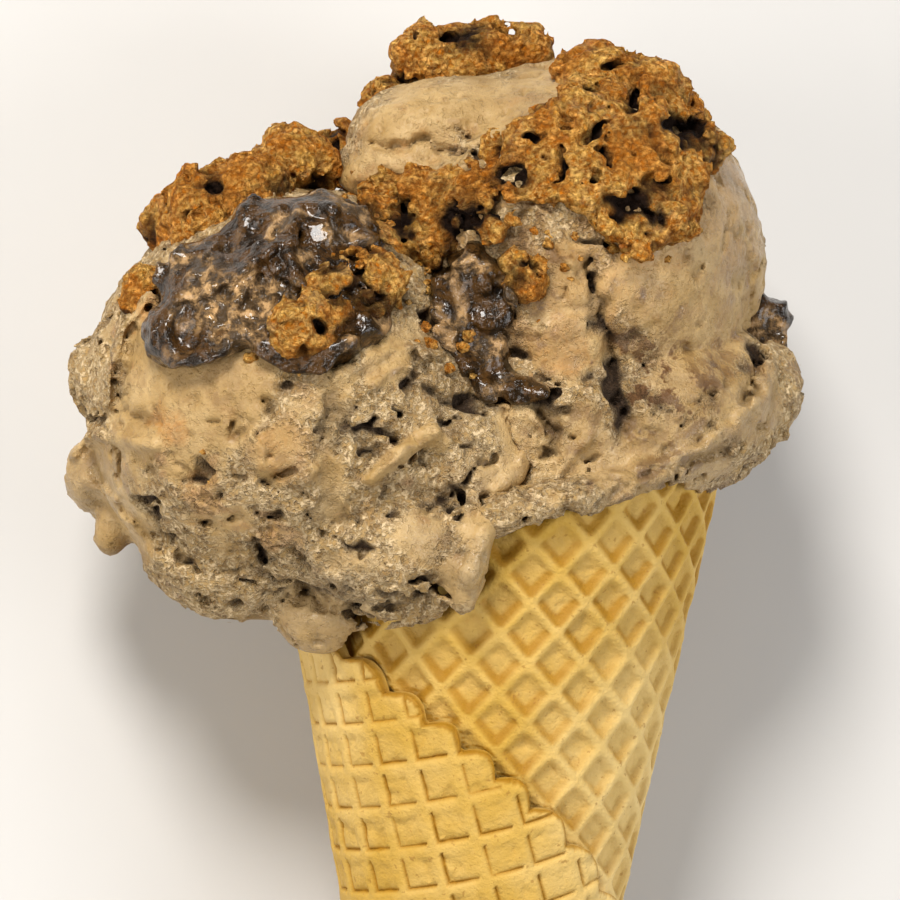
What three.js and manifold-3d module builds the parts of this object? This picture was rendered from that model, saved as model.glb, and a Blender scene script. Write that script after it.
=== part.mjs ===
// An ice cream cone: a rolled waffle cone with two pressed scoops of mocha ice cream, fudge sauce and
// pieces of sponge cake. Lengths are in millimetres. Everything is shaped in the cone's own frame
// (x to the right, y along the cone's axis from its apex, z out of the shown side) and laid down last.
import * as THREE from "three";
import { mergeVertices } from "three/addons/utils/BufferGeometryUtils.js";
import Module from "manifold-3d";

const wasm = await Module();
wasm.setup();

const RAD = Math.PI / 180;

// The wafer sheet before it is rolled
const HALF_ANGLE = 11.3 * RAD;
const SHEET_CENTRE = [33, 73];
const SHEET_RADIUS = 87;
const SHEET_OVAL = 2;
const SHEET_OVAL_AT = 115 * RAD;
const SHEET_SWELL = 1.5;
const SHEET_SWELL_AT = -20 * RAD;
const SHEET_DIP = 3.5;
const SHEET_DIP_AT = 44 * RAD;
const SHEET_DIP_SPREAD = 24 * RAD;
const SHEET_START = -80 * RAD;
const WAFER_THICKNESS = 2.1;
const RIB_HEIGHT = 0.9;
const RIB_HALF_WIDTH = 1.0;
const LAYER_GAP = 0.5;
const CELL_PITCH = 5.88;
const CELL_TURN = -45.8 * RAD;
const CELL_ORIGIN = [4.99, 152.97];
const LOBE_LENGTH = 7.6;
const LOBE_DEPTH = 2.2;
const LOBES_FROM = 12 * RAD;
const LOBES_TO = -100 * RAD;
const ROLL_FROM = 38;
const TIP_END = 11;

// The scoops
const LEFT_CENTRE = [-28.0, 169.1, 5.0];
const LEFT_SIZE = [29.7, 29.7, 36.6];
const RIGHT_CENTRE = [8.0, 189.4, -6.0];
const RIGHT_SIZE = [28.8, 28.8, 35.8];
const SCOOP_DETAIL = 4;
const BLEND = 14;
const SCOOP_WAVE = 0.45;
const SKIRT_CENTRE = [0.5, 155.6, 0];
const SKIRT_SIZE = [33.8, 5.4, 33.6];
const SKIRT_RISE = 15 * RAD;
const SKIRT_SLOPE = 2.5 * RAD;
const PLUG_FROM = 128;
const GAP = 0.3;

// How the cone lies: leaned back on its tip, rolled to the left scoop, on two small flat spots
const LEAN_BACK = 10.94 * RAD;
const ROLL_LEFT = -9.08 * RAD;
const FLOOR_LEVEL = -2.95;
const LIE_AT = [-9.67, 114.34];

const SIN_A = Math.sin(HALF_ANGLE);
const COS_A = Math.cos(HALF_ANGLE);
const TURN_STEP = WAFER_THICKNESS + LAYER_GAP;

// Lumps that swell a scoop: centre x, y, z and half sizes x, y, z
const LEFT_SWELLS = [
  [-54.0, 171.2, 8.0, 4.0, 5.0, 8.0],
  [-6.0, 162.5, 16.0, 10.5, 11.5, 15.0],
  [-14.5, 149.4, 23.0, 12.5, 9.5, 12.5],
  [-36.0, 147.5, 12.0, 12.0, 8.0, 12.0],
];
const RIGHT_SWELLS = [
  [-9.5, 205.5, 3.0, 12.5, 8.5, 13.0],
  [-14.0, 200.5, 6.0, 9.0, 6.0, 10.0],
  [30.0, 171.5, 1.0, 9.5, 10.0, 14.0],
  [8.0, 167.0, 10.0, 18.0, 14.0, 18.0],
  [22.0, 168.0, 8.0, 13.0, 12.0, 16.0],
];
// Lips and drips that hang clear of a scoop, given the same way
const LEFT_DRIPS = [
  [-56.6, 158.0, 5.0, 3.9, 5.2, 6.0],
  [-53.8, 151.6, 5.0, 2.5, 4.6, 4.0],
  [-4.2, 149.0, 30.6, 3.2, 7.8, 4.4],
  [-23.5, 139.8, 16.5, 7.0, 5.4, 6.4],
  [-13.0, 142.4, 26.0, 6.0, 3.8, 3.6],
];
const RIGHT_DRIPS = [
  [37.6, 171.8, 2.0, 4.4, 6.8, 6.0],
];

// Pieces of sponge cake: x, y, half size and how far the middle stands off the ice cream
const CAKE_TOP = [[-11.6, 217.4, 5.8, 1.5], [-4.6, 217.4, 6.6, 1.5], [1.8, 217.6, 5.0, 1.0]];
const CAKE_TOP_SMALL = [[-16.8, 211.4, 4.4, 1.8]];
const CAKE_CRUST = [
  [12.0, 214.6, 5.6, 0], [19.0, 211.4, 6.6, -0.6], [25.0, 205.2, 5.4, -0.6], [17.6, 204.0, 8.4, -3.8],
  [9.2, 205.0, 8.0, -3.8], [19.8, 196.0, 6.6, -3.0], [12.0, 198.0, 6.4, -3.2], [2.4, 203.6, 5.2, -1.6],
];
const CAKE_LEFT = [
  [-46.2, 192.2, 5.2, 0.8], [-40.4, 194.4, 6.4, -0.6], [-34.4, 197.2, 5.8, 0], [-29.0, 201.4, 6.0, 1.6],
  [-23.0, 204.2, 4.6, 1.0],
];
const CAKE_STRIP = [[-49.0, 183.8, 3.0, -0.6], [-50.4, 180.6, 2.8, -0.6]];
const CAKE_MIDDLE = [[-16.9, 198.0, 5.2, -0.6], [-10.6, 195.6, 5.8, -0.8], [-5.0, 195.0, 4.4, -1.0], [-14.0, 191.0, 5.0, -0.6]];
const CAKE_FRONT = [[-26.6, 179.0, 4.6, 1.6], [-22.4, 183.4, 4.2, 0.8], [-17.6, 185.0, 4.8, 0.4]];
const CAKE_SIDE = [[2.4, 186.4, 3.4, -0.2]];

// Fudge sauce, given the same way
const FUDGE_LEFT = [
  [-43.4, 177.8, 5.0, -1.6], [-38.4, 181.4, 7.6, -4.6], [-31.0, 182.4, 8.4, -5.6], [-21.8, 179.6, 6.4, -3.2],
  [-24.6, 189.0, 7.6, -4.6], [-32.6, 189.4, 6.6, -3.8], [-41.6, 184.6, 5.0, -2.2],
];
const FUDGE_MIDDLE = [[-3.6, 186.2, 4.6, -1.0], [-6.4, 181.8, 5.6, -1.6], [-4.4, 176.6, 4.8, -0.6], [0.8, 171.8, 3.6, 1.2]];
const FUDGE_RIGHT = [[37.0, 182.6, 4.0, 1.2], [37.4, 178.6, 3.6, 1.4]];

const COLOURS = {
  wafer: 0xd9a85c,
  cream: 0xb39566,
  cake: 0xa1662b,
  fudge: 0x36281c,
};

// Solids from meshes and back

function toSolid(geometry) {
  const bare = new THREE.BufferGeometry();
  bare.setAttribute("position", geometry.getAttribute("position").clone());
  if (geometry.index) bare.setIndex(geometry.index.clone());
  const merged = mergeVertices(bare, 1e-5);
  return new wasm.Manifold(new wasm.Mesh({
    numProp: 3,
    vertProperties: new Float32Array(merged.getAttribute("position").array),
    triVerts: new Uint32Array(merged.index.array),
  }));
}

function toGeometry(solid) {
  const mesh = solid.getMesh();
  const geometry = new THREE.BufferGeometry();
  geometry.setAttribute("position", new THREE.BufferAttribute(mesh.vertProperties, 3));
  geometry.setIndex(new THREE.BufferAttribute(mesh.triVerts, 1));
  return geometry;
}

function joined(solids) {
  return solids.reduce((whole, solid) => whole.add(solid));
}

function largestBody(solid) {
  const bodies = solid.decompose();
  return bodies.reduce((best, body) => (body.volume() > best.volume() ? body : best));
}

function meshFrom(points, faces) {
  const geometry = new THREE.BufferGeometry();
  geometry.setAttribute("position", new THREE.Float32BufferAttribute(points.flat(), 3));
  geometry.setIndex(faces.flat());
  return geometry;
}

// A gentle unevenness of about one unit, repeatable for each seed
function wave(x, y, z, seed) {
  return (
    Math.sin(x * 1.9 + y * 0.8 + seed * 2.1) +
    Math.sin(y * 2.3 - z * 1.1 + seed * 1.3) +
    Math.sin(z * 2.1 + x * 1.3 - y * 0.6 + seed * 3.7)
  ) / 2;
}

// The wafer

function smoothRadius(angle) {
  const oval = SHEET_OVAL * Math.cos(2 * (angle - SHEET_OVAL_AT));
  const swell = SHEET_SWELL * Math.cos(angle - SHEET_SWELL_AT);
  const dip = SHEET_DIP * Math.exp(-(((angle - SHEET_DIP_AT) / SHEET_DIP_SPREAD) ** 2));
  return SHEET_RADIUS + oval + swell - dip;
}

function outlineRadius(angle) {
  let radius = smoothRadius(angle);
  if (angle < LOBES_FROM && angle > LOBES_TO) {
    const along = (LOBES_FROM - angle) * SHEET_RADIUS / LOBE_LENGTH + 0.35 * Math.sin(angle * 9);
    radius += LOBE_DEPTH * (Math.abs(Math.sin(Math.PI * along)) - 0.6);
  }
  return radius;
}

function outlineShape() {
  const shape = new THREE.Shape();
  const fine = LOBE_LENGTH / 3 / SHEET_RADIUS;
  const points = [];
  let angle = 200 * RAD;
  while (angle > -160 * RAD) {
    points.push(angle);
    angle -= angle < LOBES_FROM + fine && angle > LOBES_TO ? fine : 5 * RAD;
  }
  points.forEach((at, k) => {
    const radius = outlineRadius(at);
    const x = SHEET_CENTRE[0] + radius * Math.cos(at);
    const y = SHEET_CENTRE[1] + radius * Math.sin(at);
    if (k === 0) shape.moveTo(x, y);
    else shape.lineTo(x, y);
  });
  return shape;
}

// True where the sheet's next turn lies over this place
function isCovered([x, y]) {
  const rho = Math.hypot(x, y);
  const psi = Math.atan2(x, y) + 2 * Math.PI * SIN_A;
  const away = Math.hypot(rho * Math.sin(psi) - SHEET_CENTRE[0], rho * Math.cos(psi) - SHEET_CENTRE[1]);
  return away < SHEET_RADIUS - CELL_PITCH / 2;
}

// Flat waffle slab: pyramids of rib around recessed cell floors, plain underneath
function waffleSlab() {
  const reach = Math.ceil((SHEET_RADIUS + SHEET_OVAL + SHEET_SWELL) / CELL_PITCH) + 2;
  const u = [CELL_PITCH * Math.cos(CELL_TURN), CELL_PITCH * Math.sin(CELL_TURN)];
  const v = [-u[1], u[0]];
  const du = SHEET_CENTRE[0] - CELL_ORIGIN[0];
  const dv = SHEET_CENTRE[1] - CELL_ORIGIN[1];
  const midI = Math.round((du * u[0] + dv * u[1]) / CELL_PITCH ** 2);
  const midJ = Math.round((du * v[0] + dv * v[1]) / CELL_PITCH ** 2);
  const points = [];
  const faces = [];
  const size = 2 * reach + 1;
  const at = (i, j, z) => {
    const a = midI + i - reach;
    const b = midJ + j - reach;
    return [CELL_ORIGIN[0] + a * u[0] + b * v[0], CELL_ORIGIN[1] + a * u[1] + b * v[1], z];
  };
  for (let j = 0; j < size; j++) {
    for (let i = 0; i < size; i++) points.push(at(i, j, 0));
  }
  for (let j = 0; j < size; j++) {
    for (let i = 0; i < size; i++) points.push(at(i, j, -WAFER_THICKNESS));
  }
  const top = (i, j) => j * size + i;
  const under = (i, j) => size * size + j * size + i;
  const inset = RIB_HALF_WIDTH / CELL_PITCH;
  for (let j = 0; j < size - 1; j++) {
    for (let i = 0; i < size - 1; i++) {
      const ring = [top(i, j), top(i + 1, j), top(i + 1, j + 1), top(i, j + 1)];
      faces.push([under(i, j), under(i + 1, j + 1), under(i + 1, j)]);
      faces.push([under(i, j), under(i, j + 1), under(i + 1, j + 1)]);
      if (isCovered(at(i + 0.5, j + 0.5, 0))) {
        faces.push([ring[0], ring[1], ring[2]], [ring[0], ring[2], ring[3]]);
        continue;
      }
      const low = points.length;
      points.push(at(i + inset, j + inset, -RIB_HEIGHT), at(i + 1 - inset, j + inset, -RIB_HEIGHT));
      points.push(at(i + 1 - inset, j + 1 - inset, -RIB_HEIGHT), at(i + inset, j + 1 - inset, -RIB_HEIGHT));
      for (let k = 0; k < 4; k++) {
        const next = (k + 1) % 4;
        faces.push([ring[k], ring[next], low + next], [ring[k], low + next, low + k]);
      }
      faces.push([low, low + 1, low + 2], [low, low + 2, low + 3]);
    }
  }
  const last = size - 1;
  for (let k = 0; k < last; k++) {
    faces.push([top(k, 0), under(k, 0), under(k + 1, 0)], [top(k, 0), under(k + 1, 0), top(k + 1, 0)]);
    faces.push([top(k, last), under(k + 1, last), under(k, last)], [top(k, last), top(k + 1, last), under(k + 1, last)]);
    faces.push([top(0, k), under(0, k + 1), under(0, k)], [top(0, k), top(0, k + 1), under(0, k + 1)]);
    faces.push([top(last, k), under(last, k), under(last, k + 1)], [top(last, k), under(last, k + 1), top(last, k + 1)]);
  }
  return toSolid(meshFrom(points, faces));
}

function extruded(shape, from, to) {
  const geometry = new THREE.ExtrudeGeometry(shape, { depth: to - from, bevelEnabled: false });
  geometry.translate(0, 0, from);
  return toSolid(geometry);
}

// The sector of the sheet that is rolled: from the hidden first edge to just past the flap's end
function sectorShape() {
  const shape = new THREE.Shape();
  const from = SHEET_START * SIN_A;
  const to = 128 * RAD;
  const steps = 40;
  for (let k = 0; k <= steps; k++) {
    const psi = from + (to - from) * k / steps;
    const x = ROLL_FROM * Math.sin(psi);
    const y = ROLL_FROM * Math.cos(psi);
    if (k === 0) shape.moveTo(x, y);
    else shape.lineTo(x, y);
  }
  for (let k = steps; k >= 0; k--) {
    const psi = from + (to - from) * k / steps;
    shape.lineTo(210 * Math.sin(psi), 210 * Math.cos(psi));
  }
  return shape;
}

function layerLift(theta) {
  return TURN_STEP * (theta - Math.PI) / (2 * Math.PI);
}

function onCone(rho, theta, lift) {
  return [
    (rho * SIN_A + lift * COS_A) * Math.sin(theta),
    rho * COS_A - lift * SIN_A,
    (rho * SIN_A + lift * COS_A) * Math.cos(theta),
  ];
}

function rolled(geometry) {
  const position = geometry.getAttribute("position");
  for (let k = 0; k < position.count; k++) {
    const x = position.getX(k);
    const y = position.getY(k);
    const rho = Math.hypot(x, y);
    const theta = Math.atan2(x, y) / SIN_A;
    position.setXYZ(k, ...onCone(rho, theta, position.getZ(k) + layerLift(theta)));
  }
  return geometry;
}

function waferTip() {
  const lift = 1.7;
  const rho = ROLL_FROM + 1.5;
  const wide = rho * SIN_A + lift * COS_A;
  const narrow = TIP_END * SIN_A + lift * COS_A;
  const profile = [
    new THREE.Vector2(0, TIP_END * COS_A - 3.2),
    new THREE.Vector2(narrow * 0.5, TIP_END * COS_A - 2.8),
    new THREE.Vector2(narrow * 0.86, TIP_END * COS_A - 1.6),
    new THREE.Vector2(narrow, TIP_END * COS_A),
    new THREE.Vector2(wide, rho * COS_A),
    new THREE.Vector2(0, rho * COS_A),
  ];
  return toSolid(new THREE.LatheGeometry(profile, 20));
}

function waferCone() {
  const flat = waffleSlab()
    .intersect(extruded(outlineShape(), -9, 9))
    .intersect(extruded(sectorShape(), -9, 9));
  const wall = toSolid(rolled(toGeometry(largestBody(flat))));
  return largestBody(wall.add(waferTip()));
}

// How far up the sheet reaches at an angle round the cone
function rimRho(theta) {
  const psi = theta * SIN_A;
  let rho = 150;
  for (let k = 0; k < 12; k++) {
    const x = rho * Math.sin(psi) - SHEET_CENTRE[0];
    const y = rho * Math.cos(psi) - SHEET_CENTRE[1];
    rho += smoothRadius(Math.atan2(y, x)) - Math.hypot(x, y);
  }
  return rho;
}

// A little more than the wafer's wall near the mouth, which the ice cream keeps clear of
function mouthWall() {
  const seam = -44 * RAD;
  const steps = 36;
  const points = [];
  const faces = [];
  for (let k = 0; k < steps; k++) {
    const theta = seam + 2 * Math.PI * k / (steps - 1) * 0.9999;
      const outer = layerLift(theta) + GAP + 0.1;
    const inner = layerLift(SHEET_START) - WAFER_THICKNESS - GAP;
    const under = theta - 2 * Math.PI > SHEET_START ? rimRho(theta - 2 * Math.PI) : 0;
    const top = Math.max(rimRho(theta) + LOBE_DEPTH / 2, under) + GAP;
    points.push(onCone(112, theta, outer), onCone(top, theta, outer));
    points.push(onCone(top, theta, inner), onCone(112, theta, inner));
  }
  for (let k = 0; k < steps; k++) {
    const next = (k + 1) % steps;
    for (let side = 0; side < 4; side++) {
      const other = (side + 1) % 4;
      const a = 4 * k + side;
      const b = 4 * next + side;
      const c = 4 * next + other;
      const d = 4 * k + other;
      faces.push([a, b, c], [a, c, d]);
    }
  }
  return toSolid(meshFrom(points, faces));
}

// Ellipsoids and scoops

function ellipsoid([x, y, z, a, b, c], detail, grow = 0, seed = 0, rough = 0) {
  const geometry = new THREE.IcosahedronGeometry(1, detail);
  const position = geometry.getAttribute("position");
  for (let k = 0; k < position.count; k++) {
    const nx = position.getX(k);
    const ny = position.getY(k);
    const nz = position.getZ(k);
    const swell = 1 + rough * wave(nx * 1.6, ny * 1.6, nz * 1.6, seed);
    position.setXYZ(k, x + nx * (a * swell + grow), y + ny * (b * swell + grow), z + nz * (c * swell + grow));
  }
  return toSolid(geometry);
}

// Distance from a scoop's centre to the far side of a lump, along one direction
function reachOfLump(direction, centre, lump) {
  const offset = [lump[0] - centre[0], lump[1] - centre[1], lump[2] - centre[2]];
  let a = 0;
  let b = 0;
  let c = -1;
  for (let k = 0; k < 3; k++) {
    const size = lump[3 + k];
    a += (direction[k] / size) ** 2;
    b += direction[k] * offset[k] / size ** 2;
    c += (offset[k] / size) ** 2;
  }
  const inside = b * b - a * c;
  return inside > 0 ? Math.max(0, (b + Math.sqrt(inside)) / a) : 0;
}

function scoop(centre, size, swells, seed, grow) {
  const geometry = new THREE.IcosahedronGeometry(1, SCOOP_DETAIL);
  const position = geometry.getAttribute("position");
  for (let k = 0; k < position.count; k++) {
    const d = [position.getX(k), position.getY(k), position.getZ(k)];
    let sum = 1 / Math.hypot(d[0] / size[0], d[1] / size[1], d[2] / size[2]) ** BLEND;
    for (const lump of swells) sum += reachOfLump(d, centre, lump) ** BLEND;
    let reach = sum ** (1 / BLEND);
    reach += SCOOP_WAVE * wave(d[0] * 4, d[1] * 4, d[2] * 4, seed) + grow;
    position.setXYZ(k, centre[0] + d[0] * reach, centre[1] + d[1] * reach, centre[2] + d[2] * reach);
  }
  return toSolid(geometry);
}

function leftScoop(grow) {
  const drips = LEFT_DRIPS.map((lump) => ellipsoid(lump, 1, grow));
  return joined([scoop(LEFT_CENTRE, LEFT_SIZE, LEFT_SWELLS, 1, grow), ...drips]);
}

function skirt(grow) {
  const geometry = new THREE.SphereGeometry(1, 28, 6);
  geometry.scale(SKIRT_SIZE[0] + grow, SKIRT_SIZE[1] + grow, SKIRT_SIZE[2] + grow);
  geometry.rotateX(SKIRT_SLOPE);
  geometry.rotateZ(SKIRT_RISE);
  geometry.translate(...SKIRT_CENTRE);
  return toSolid(geometry);
}

function plug(grow) {
  const radius = (y) => y * Math.tan(HALF_ANGLE) + layerLift(SHEET_START) - WAFER_THICKNESS - GAP + grow;
  const profile = [
    new THREE.Vector2(0, PLUG_FROM - 2.5),
    new THREE.Vector2(radius(PLUG_FROM) * 0.7, PLUG_FROM - 1.5),
    new THREE.Vector2(radius(PLUG_FROM), PLUG_FROM + 3),
    new THREE.Vector2(radius(158), 158),
    new THREE.Vector2(0, 158),
  ];
  return toSolid(new THREE.LatheGeometry(profile, 20));
}

function rightScoop(grow) {
  const drips = RIGHT_DRIPS.map((lump) => ellipsoid(lump, 1, grow));
  const body = scoop(RIGHT_CENTRE, RIGHT_SIZE, RIGHT_SWELLS, 2, grow);
  return joined([body, skirt(grow), plug(grow), ...drips]);
}

// Height of the ice cream's front at a place, or the middle of the nearer scoop beside it
function frontOf(x, y) {
  let front = -Infinity;
  let nearest = Infinity;
  let beside = 0;
  for (const [centre, size] of [[LEFT_CENTRE, LEFT_SIZE], [RIGHT_CENTRE, RIGHT_SIZE]]) {
    const out = Math.hypot((x - centre[0]) / size[0], (y - centre[1]) / size[1]);
    if (out < 1) front = Math.max(front, centre[2] + size[2] * Math.sqrt(1 - out * out));
    if (out < nearest) {
      nearest = out;
      beside = centre[2];
    }
  }
  return front > -Infinity ? front : beside;
}

function topping(lumps, grow, rough, seed, flatness) {
  const pieces = lumps.map(([x, y, half, off], k) => {
    const lump = [x, y, frontOf(x, y) + off, half, half, half * flatness];
    return ellipsoid(lump, 1, grow, seed + k, rough);
  });
  return joined(pieces);
}

function cake(lumps, seed, grow = 0) {
  return topping(lumps, grow, 0.16, seed, 1.0);
}

function fudge(lumps, seed, grow = 0) {
  return topping(lumps, grow, 0.06, seed, 0.9);
}

// Laying the whole down

const POSE = new THREE.Matrix4()
  .makeTranslation(-LIE_AT[0], -LIE_AT[1], -FLOOR_LEVEL)
  .multiply(new THREE.Matrix4().makeRotationX(LEAN_BACK))
  .multiply(new THREE.Matrix4().makeRotationY(ROLL_LEFT));

function underFloor() {
  const geometry = new THREE.BoxGeometry(400, 600, 60);
  geometry.translate(0, 100, -30);
  geometry.applyMatrix4(POSE.clone().invert());
  return toSolid(geometry);
}

function named(name, solid, colour, roughness) {
  const geometry = toGeometry(largestBody(solid));
  geometry.applyMatrix4(POSE);
  const shown = geometry.toNonIndexed();
  shown.computeVertexNormals();
  const material = new THREE.MeshStandardMaterial({ color: colour, roughness, metalness: 0 });
  const mesh = new THREE.Mesh(shown, material);
  mesh.name = name;
  return mesh;
}

function build() {
  const group = new THREE.Group();
  const wall = mouthWall();
  const floor = underFloor();
  const cut = (solid, others) => others.reduce((rest, other) => rest.subtract(other), solid);

  const left = leftScoop(GAP);
  const right = rightScoop(GAP);
  const sauces = [[FUDGE_LEFT, 11], [FUDGE_MIDDLE, 12], [FUDGE_RIGHT, 13]];
  const sauceRoom = joined(sauces.map(([lumps, seed]) => fudge(lumps, seed, GAP)));
  const crumbs = [
    ["cake_top", CAKE_TOP, 21], ["cake_top_small", CAKE_TOP_SMALL, 22], ["cake_crust", CAKE_CRUST, 23],
    ["cake_left", CAKE_LEFT, 24], ["cake_strip", CAKE_STRIP, 25], ["cake_middle", CAKE_MIDDLE, 26],
    ["cake_front", CAKE_FRONT, 27], ["cake_side", CAKE_SIDE, 28],
  ];

  group.add(named("cone", waferCone(), COLOURS.wafer, 0.7));
  group.add(named("scoop_left", cut(leftScoop(0), [wall, floor]), COLOURS.cream, 0.55));
  group.add(named("scoop_right", cut(rightScoop(0), [left, wall, floor]), COLOURS.cream, 0.55));
  ["fudge_left", "fudge_middle", "fudge_right"].forEach((name, k) => {
    const [lumps, seed] = sauces[k];
    const room = k === 1 ? [left, right, fudge(FUDGE_LEFT, 11, GAP)] : [left, right];
    group.add(named(name, cut(fudge(lumps, seed), room), COLOURS.fudge, 0.2));
  });
  let taken = sauceRoom;
  for (const [name, lumps, seed] of crumbs) {
    group.add(named(name, cut(cake(lumps, seed), [left, right, taken]), COLOURS.cake, 0.85));
    taken = taken.add(cake(lumps, seed, GAP));
  }

  return group;
}

export default build();
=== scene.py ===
"""Looks of an ice cream cone: a rolled waffle cone, two pressed scoops of mocha ice cream, fudge sauce and
pieces of sponge cake. Everything is shaped in millimetres in the cone's own frame (x to the right, y along
the cone's axis from its apex, z out of the shown side) and laid down last, in metres."""

import itertools
import math

import bmesh
import bpy
import numpy as np
import openvdb
from bpy.props import FloatProperty, FloatVectorProperty, PointerProperty
from mathutils import Matrix, Vector


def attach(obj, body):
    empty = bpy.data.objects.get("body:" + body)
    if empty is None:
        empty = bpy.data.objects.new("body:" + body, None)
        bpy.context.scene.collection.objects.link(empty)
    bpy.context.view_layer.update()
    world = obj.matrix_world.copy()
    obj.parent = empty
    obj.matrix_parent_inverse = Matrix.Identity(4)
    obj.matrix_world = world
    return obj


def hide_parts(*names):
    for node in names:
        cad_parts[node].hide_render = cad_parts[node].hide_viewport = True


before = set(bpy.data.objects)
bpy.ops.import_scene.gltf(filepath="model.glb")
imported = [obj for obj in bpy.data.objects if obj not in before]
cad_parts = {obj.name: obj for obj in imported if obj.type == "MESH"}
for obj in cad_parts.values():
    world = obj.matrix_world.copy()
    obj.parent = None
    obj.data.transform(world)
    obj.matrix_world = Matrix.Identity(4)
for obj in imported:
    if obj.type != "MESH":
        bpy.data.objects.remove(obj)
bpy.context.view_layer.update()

bl_info = {
    "name": "Ice cream cone",
    "version": (1, 0, 0),
    "blender": (4, 5, 0),
    "location": "3D View > Sidebar > Ice cream cone",
    "description": "Builds a waffle cone with two scoops of ice cream, fudge sauce and cake",
    "category": "Object",
}

MM = 0.001

# The wafer sheet before it is rolled
HALF_ANGLE = math.radians(11.3)
SHEET_CENTRE = (33.0, 73.0)
SHEET_RADIUS = 87.0
SHEET_OVAL = 2.0
SHEET_OVAL_AT = math.radians(115)
SHEET_SWELL = 1.5
SHEET_SWELL_AT = math.radians(-20)
SHEET_DIP = 3.5
SHEET_DIP_AT = math.radians(44)
SHEET_DIP_SPREAD = math.radians(24)
SHEET_START = math.radians(-80)
SHEET_END = math.radians(128)
WAFER_THICKNESS = 2.1
LAYER_GAP = 0.5
CELL_PITCH = 5.88
CELL_TURN = math.radians(-45.8)
CELL_ORIGIN = (4.99, 152.97)
CELL_STEPS = 13
CELLS_ACROSS = 34
BACK_STEPS = 2
RIB_HALF = 0.16
RIB_SLOPE = 1.5
WALL_AT = 1.1
WALL_HALF = 0.75
CREASE_AT = 2 * CELL_PITCH / CELL_STEPS
CREASE_HALF = 0.3
LOBE_LENGTH = 7.6
LOBE_DEPTH = 2.2
LOBES_FROM = math.radians(12)
LOBES_TO = math.radians(-100)
ROLL_FROM = 24.0
PAST_SHEET = 210.0
WALL_SEAM = math.radians(-44)
TIP_SEAM = math.radians(267)
TIP_POINTS_ROUND = 110
TIP_RING_STEP = 0.5
TIP_OVERLAP = 1.4
TIP_END = 11.0
TIP_LIFT = 1.7
TIP_CLOSING = [(0.86, -1.6), (0.5, -2.8)]
TIP_POINT = -3.2
TURN_STEP = WAFER_THICKNESS + LAYER_GAP
FLAP_TWIST = math.radians(-9)
FLAP_PIVOT = (104.0, 55.0)
FLAP_FROM = math.radians(38)
FLAP_FULL = math.radians(50)
TWIST_FROM = math.radians(18)

# Where the wafer is lighter: painted light low on the right, a paler tone along its left side; place as seen
# from the front, half width, half height and strength
PALE_AND_PAINTED_LIGHT_PLACES = [(21, 112, 17, 34, 1.0), (-25, 128, 8, 22, 0.7)]

# The scoops: centre, half sizes, and the lowest and highest corner of the grid that each is shaped in
LEFT_CENTRE = (-28.0, 169.1, 5.0)
LEFT_SIZE = (29.7, 29.7, 36.6)
LEFT_GRID = ((-64, 132, -34), (8, 202, 45))
RIGHT_CENTRE = (8.0, 189.4, -6.0)
RIGHT_SIZE = (28.8, 28.8, 35.8)
RIGHT_GRID = ((-36, 126, -44), (45, 222, 36))
BLEND = 14
DRIP_BLEND = 1.6
SKIRT_BLEND = 2.0
SCOOP_WAVE = 0.45
CREAM_MERGING = 0.25
SKIRT = (0.5, 155.6, 0.0, 33.8, 5.4, 33.6)
SKIRT_RISE = math.radians(15)
SKIRT_SLOPE = math.radians(2.5)
PLUG_FROM = 128.0
PLUG_TO = 158.0
GAP = 0.3

# Swells and drips of the scoops: centre and half sizes
LEFT_SWELLS = [
    (-54.0, 171.2, 8.0, 4.0, 5.0, 8.0),
    (-6.0, 162.5, 16.0, 10.5, 11.5, 15.0),
    (-14.5, 149.4, 23.0, 12.5, 9.5, 12.5),
    (-36.0, 147.5, 12.0, 12.0, 8.0, 12.0),
]
RIGHT_SWELLS = [
    (-9.5, 205.5, 3.0, 12.5, 8.5, 13.0),
    (-14.0, 200.5, 6.0, 9.0, 6.0, 10.0),
    (30.0, 171.5, 1.0, 9.5, 10.0, 14.0),
    (8.0, 167.0, 10.0, 18.0, 14.0, 18.0),
    (22.0, 168.0, 8.0, 13.0, 12.0, 16.0),
]
LEFT_DRIPS = [
    (-56.6, 158.0, 5.0, 3.9, 5.2, 6.0),
    (-53.8, 151.6, 5.0, 2.5, 4.6, 4.0),
    (-4.2, 149.0, 30.6, 3.2, 7.8, 4.4),
    (-23.5, 139.8, 16.5, 7.0, 5.4, 6.4),
    (-13.0, 142.4, 26.0, 6.0, 3.8, 3.6),
]
RIGHT_DRIPS = [(37.6, 171.8, 2.0, 4.4, 6.8, 6.0)]

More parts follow.
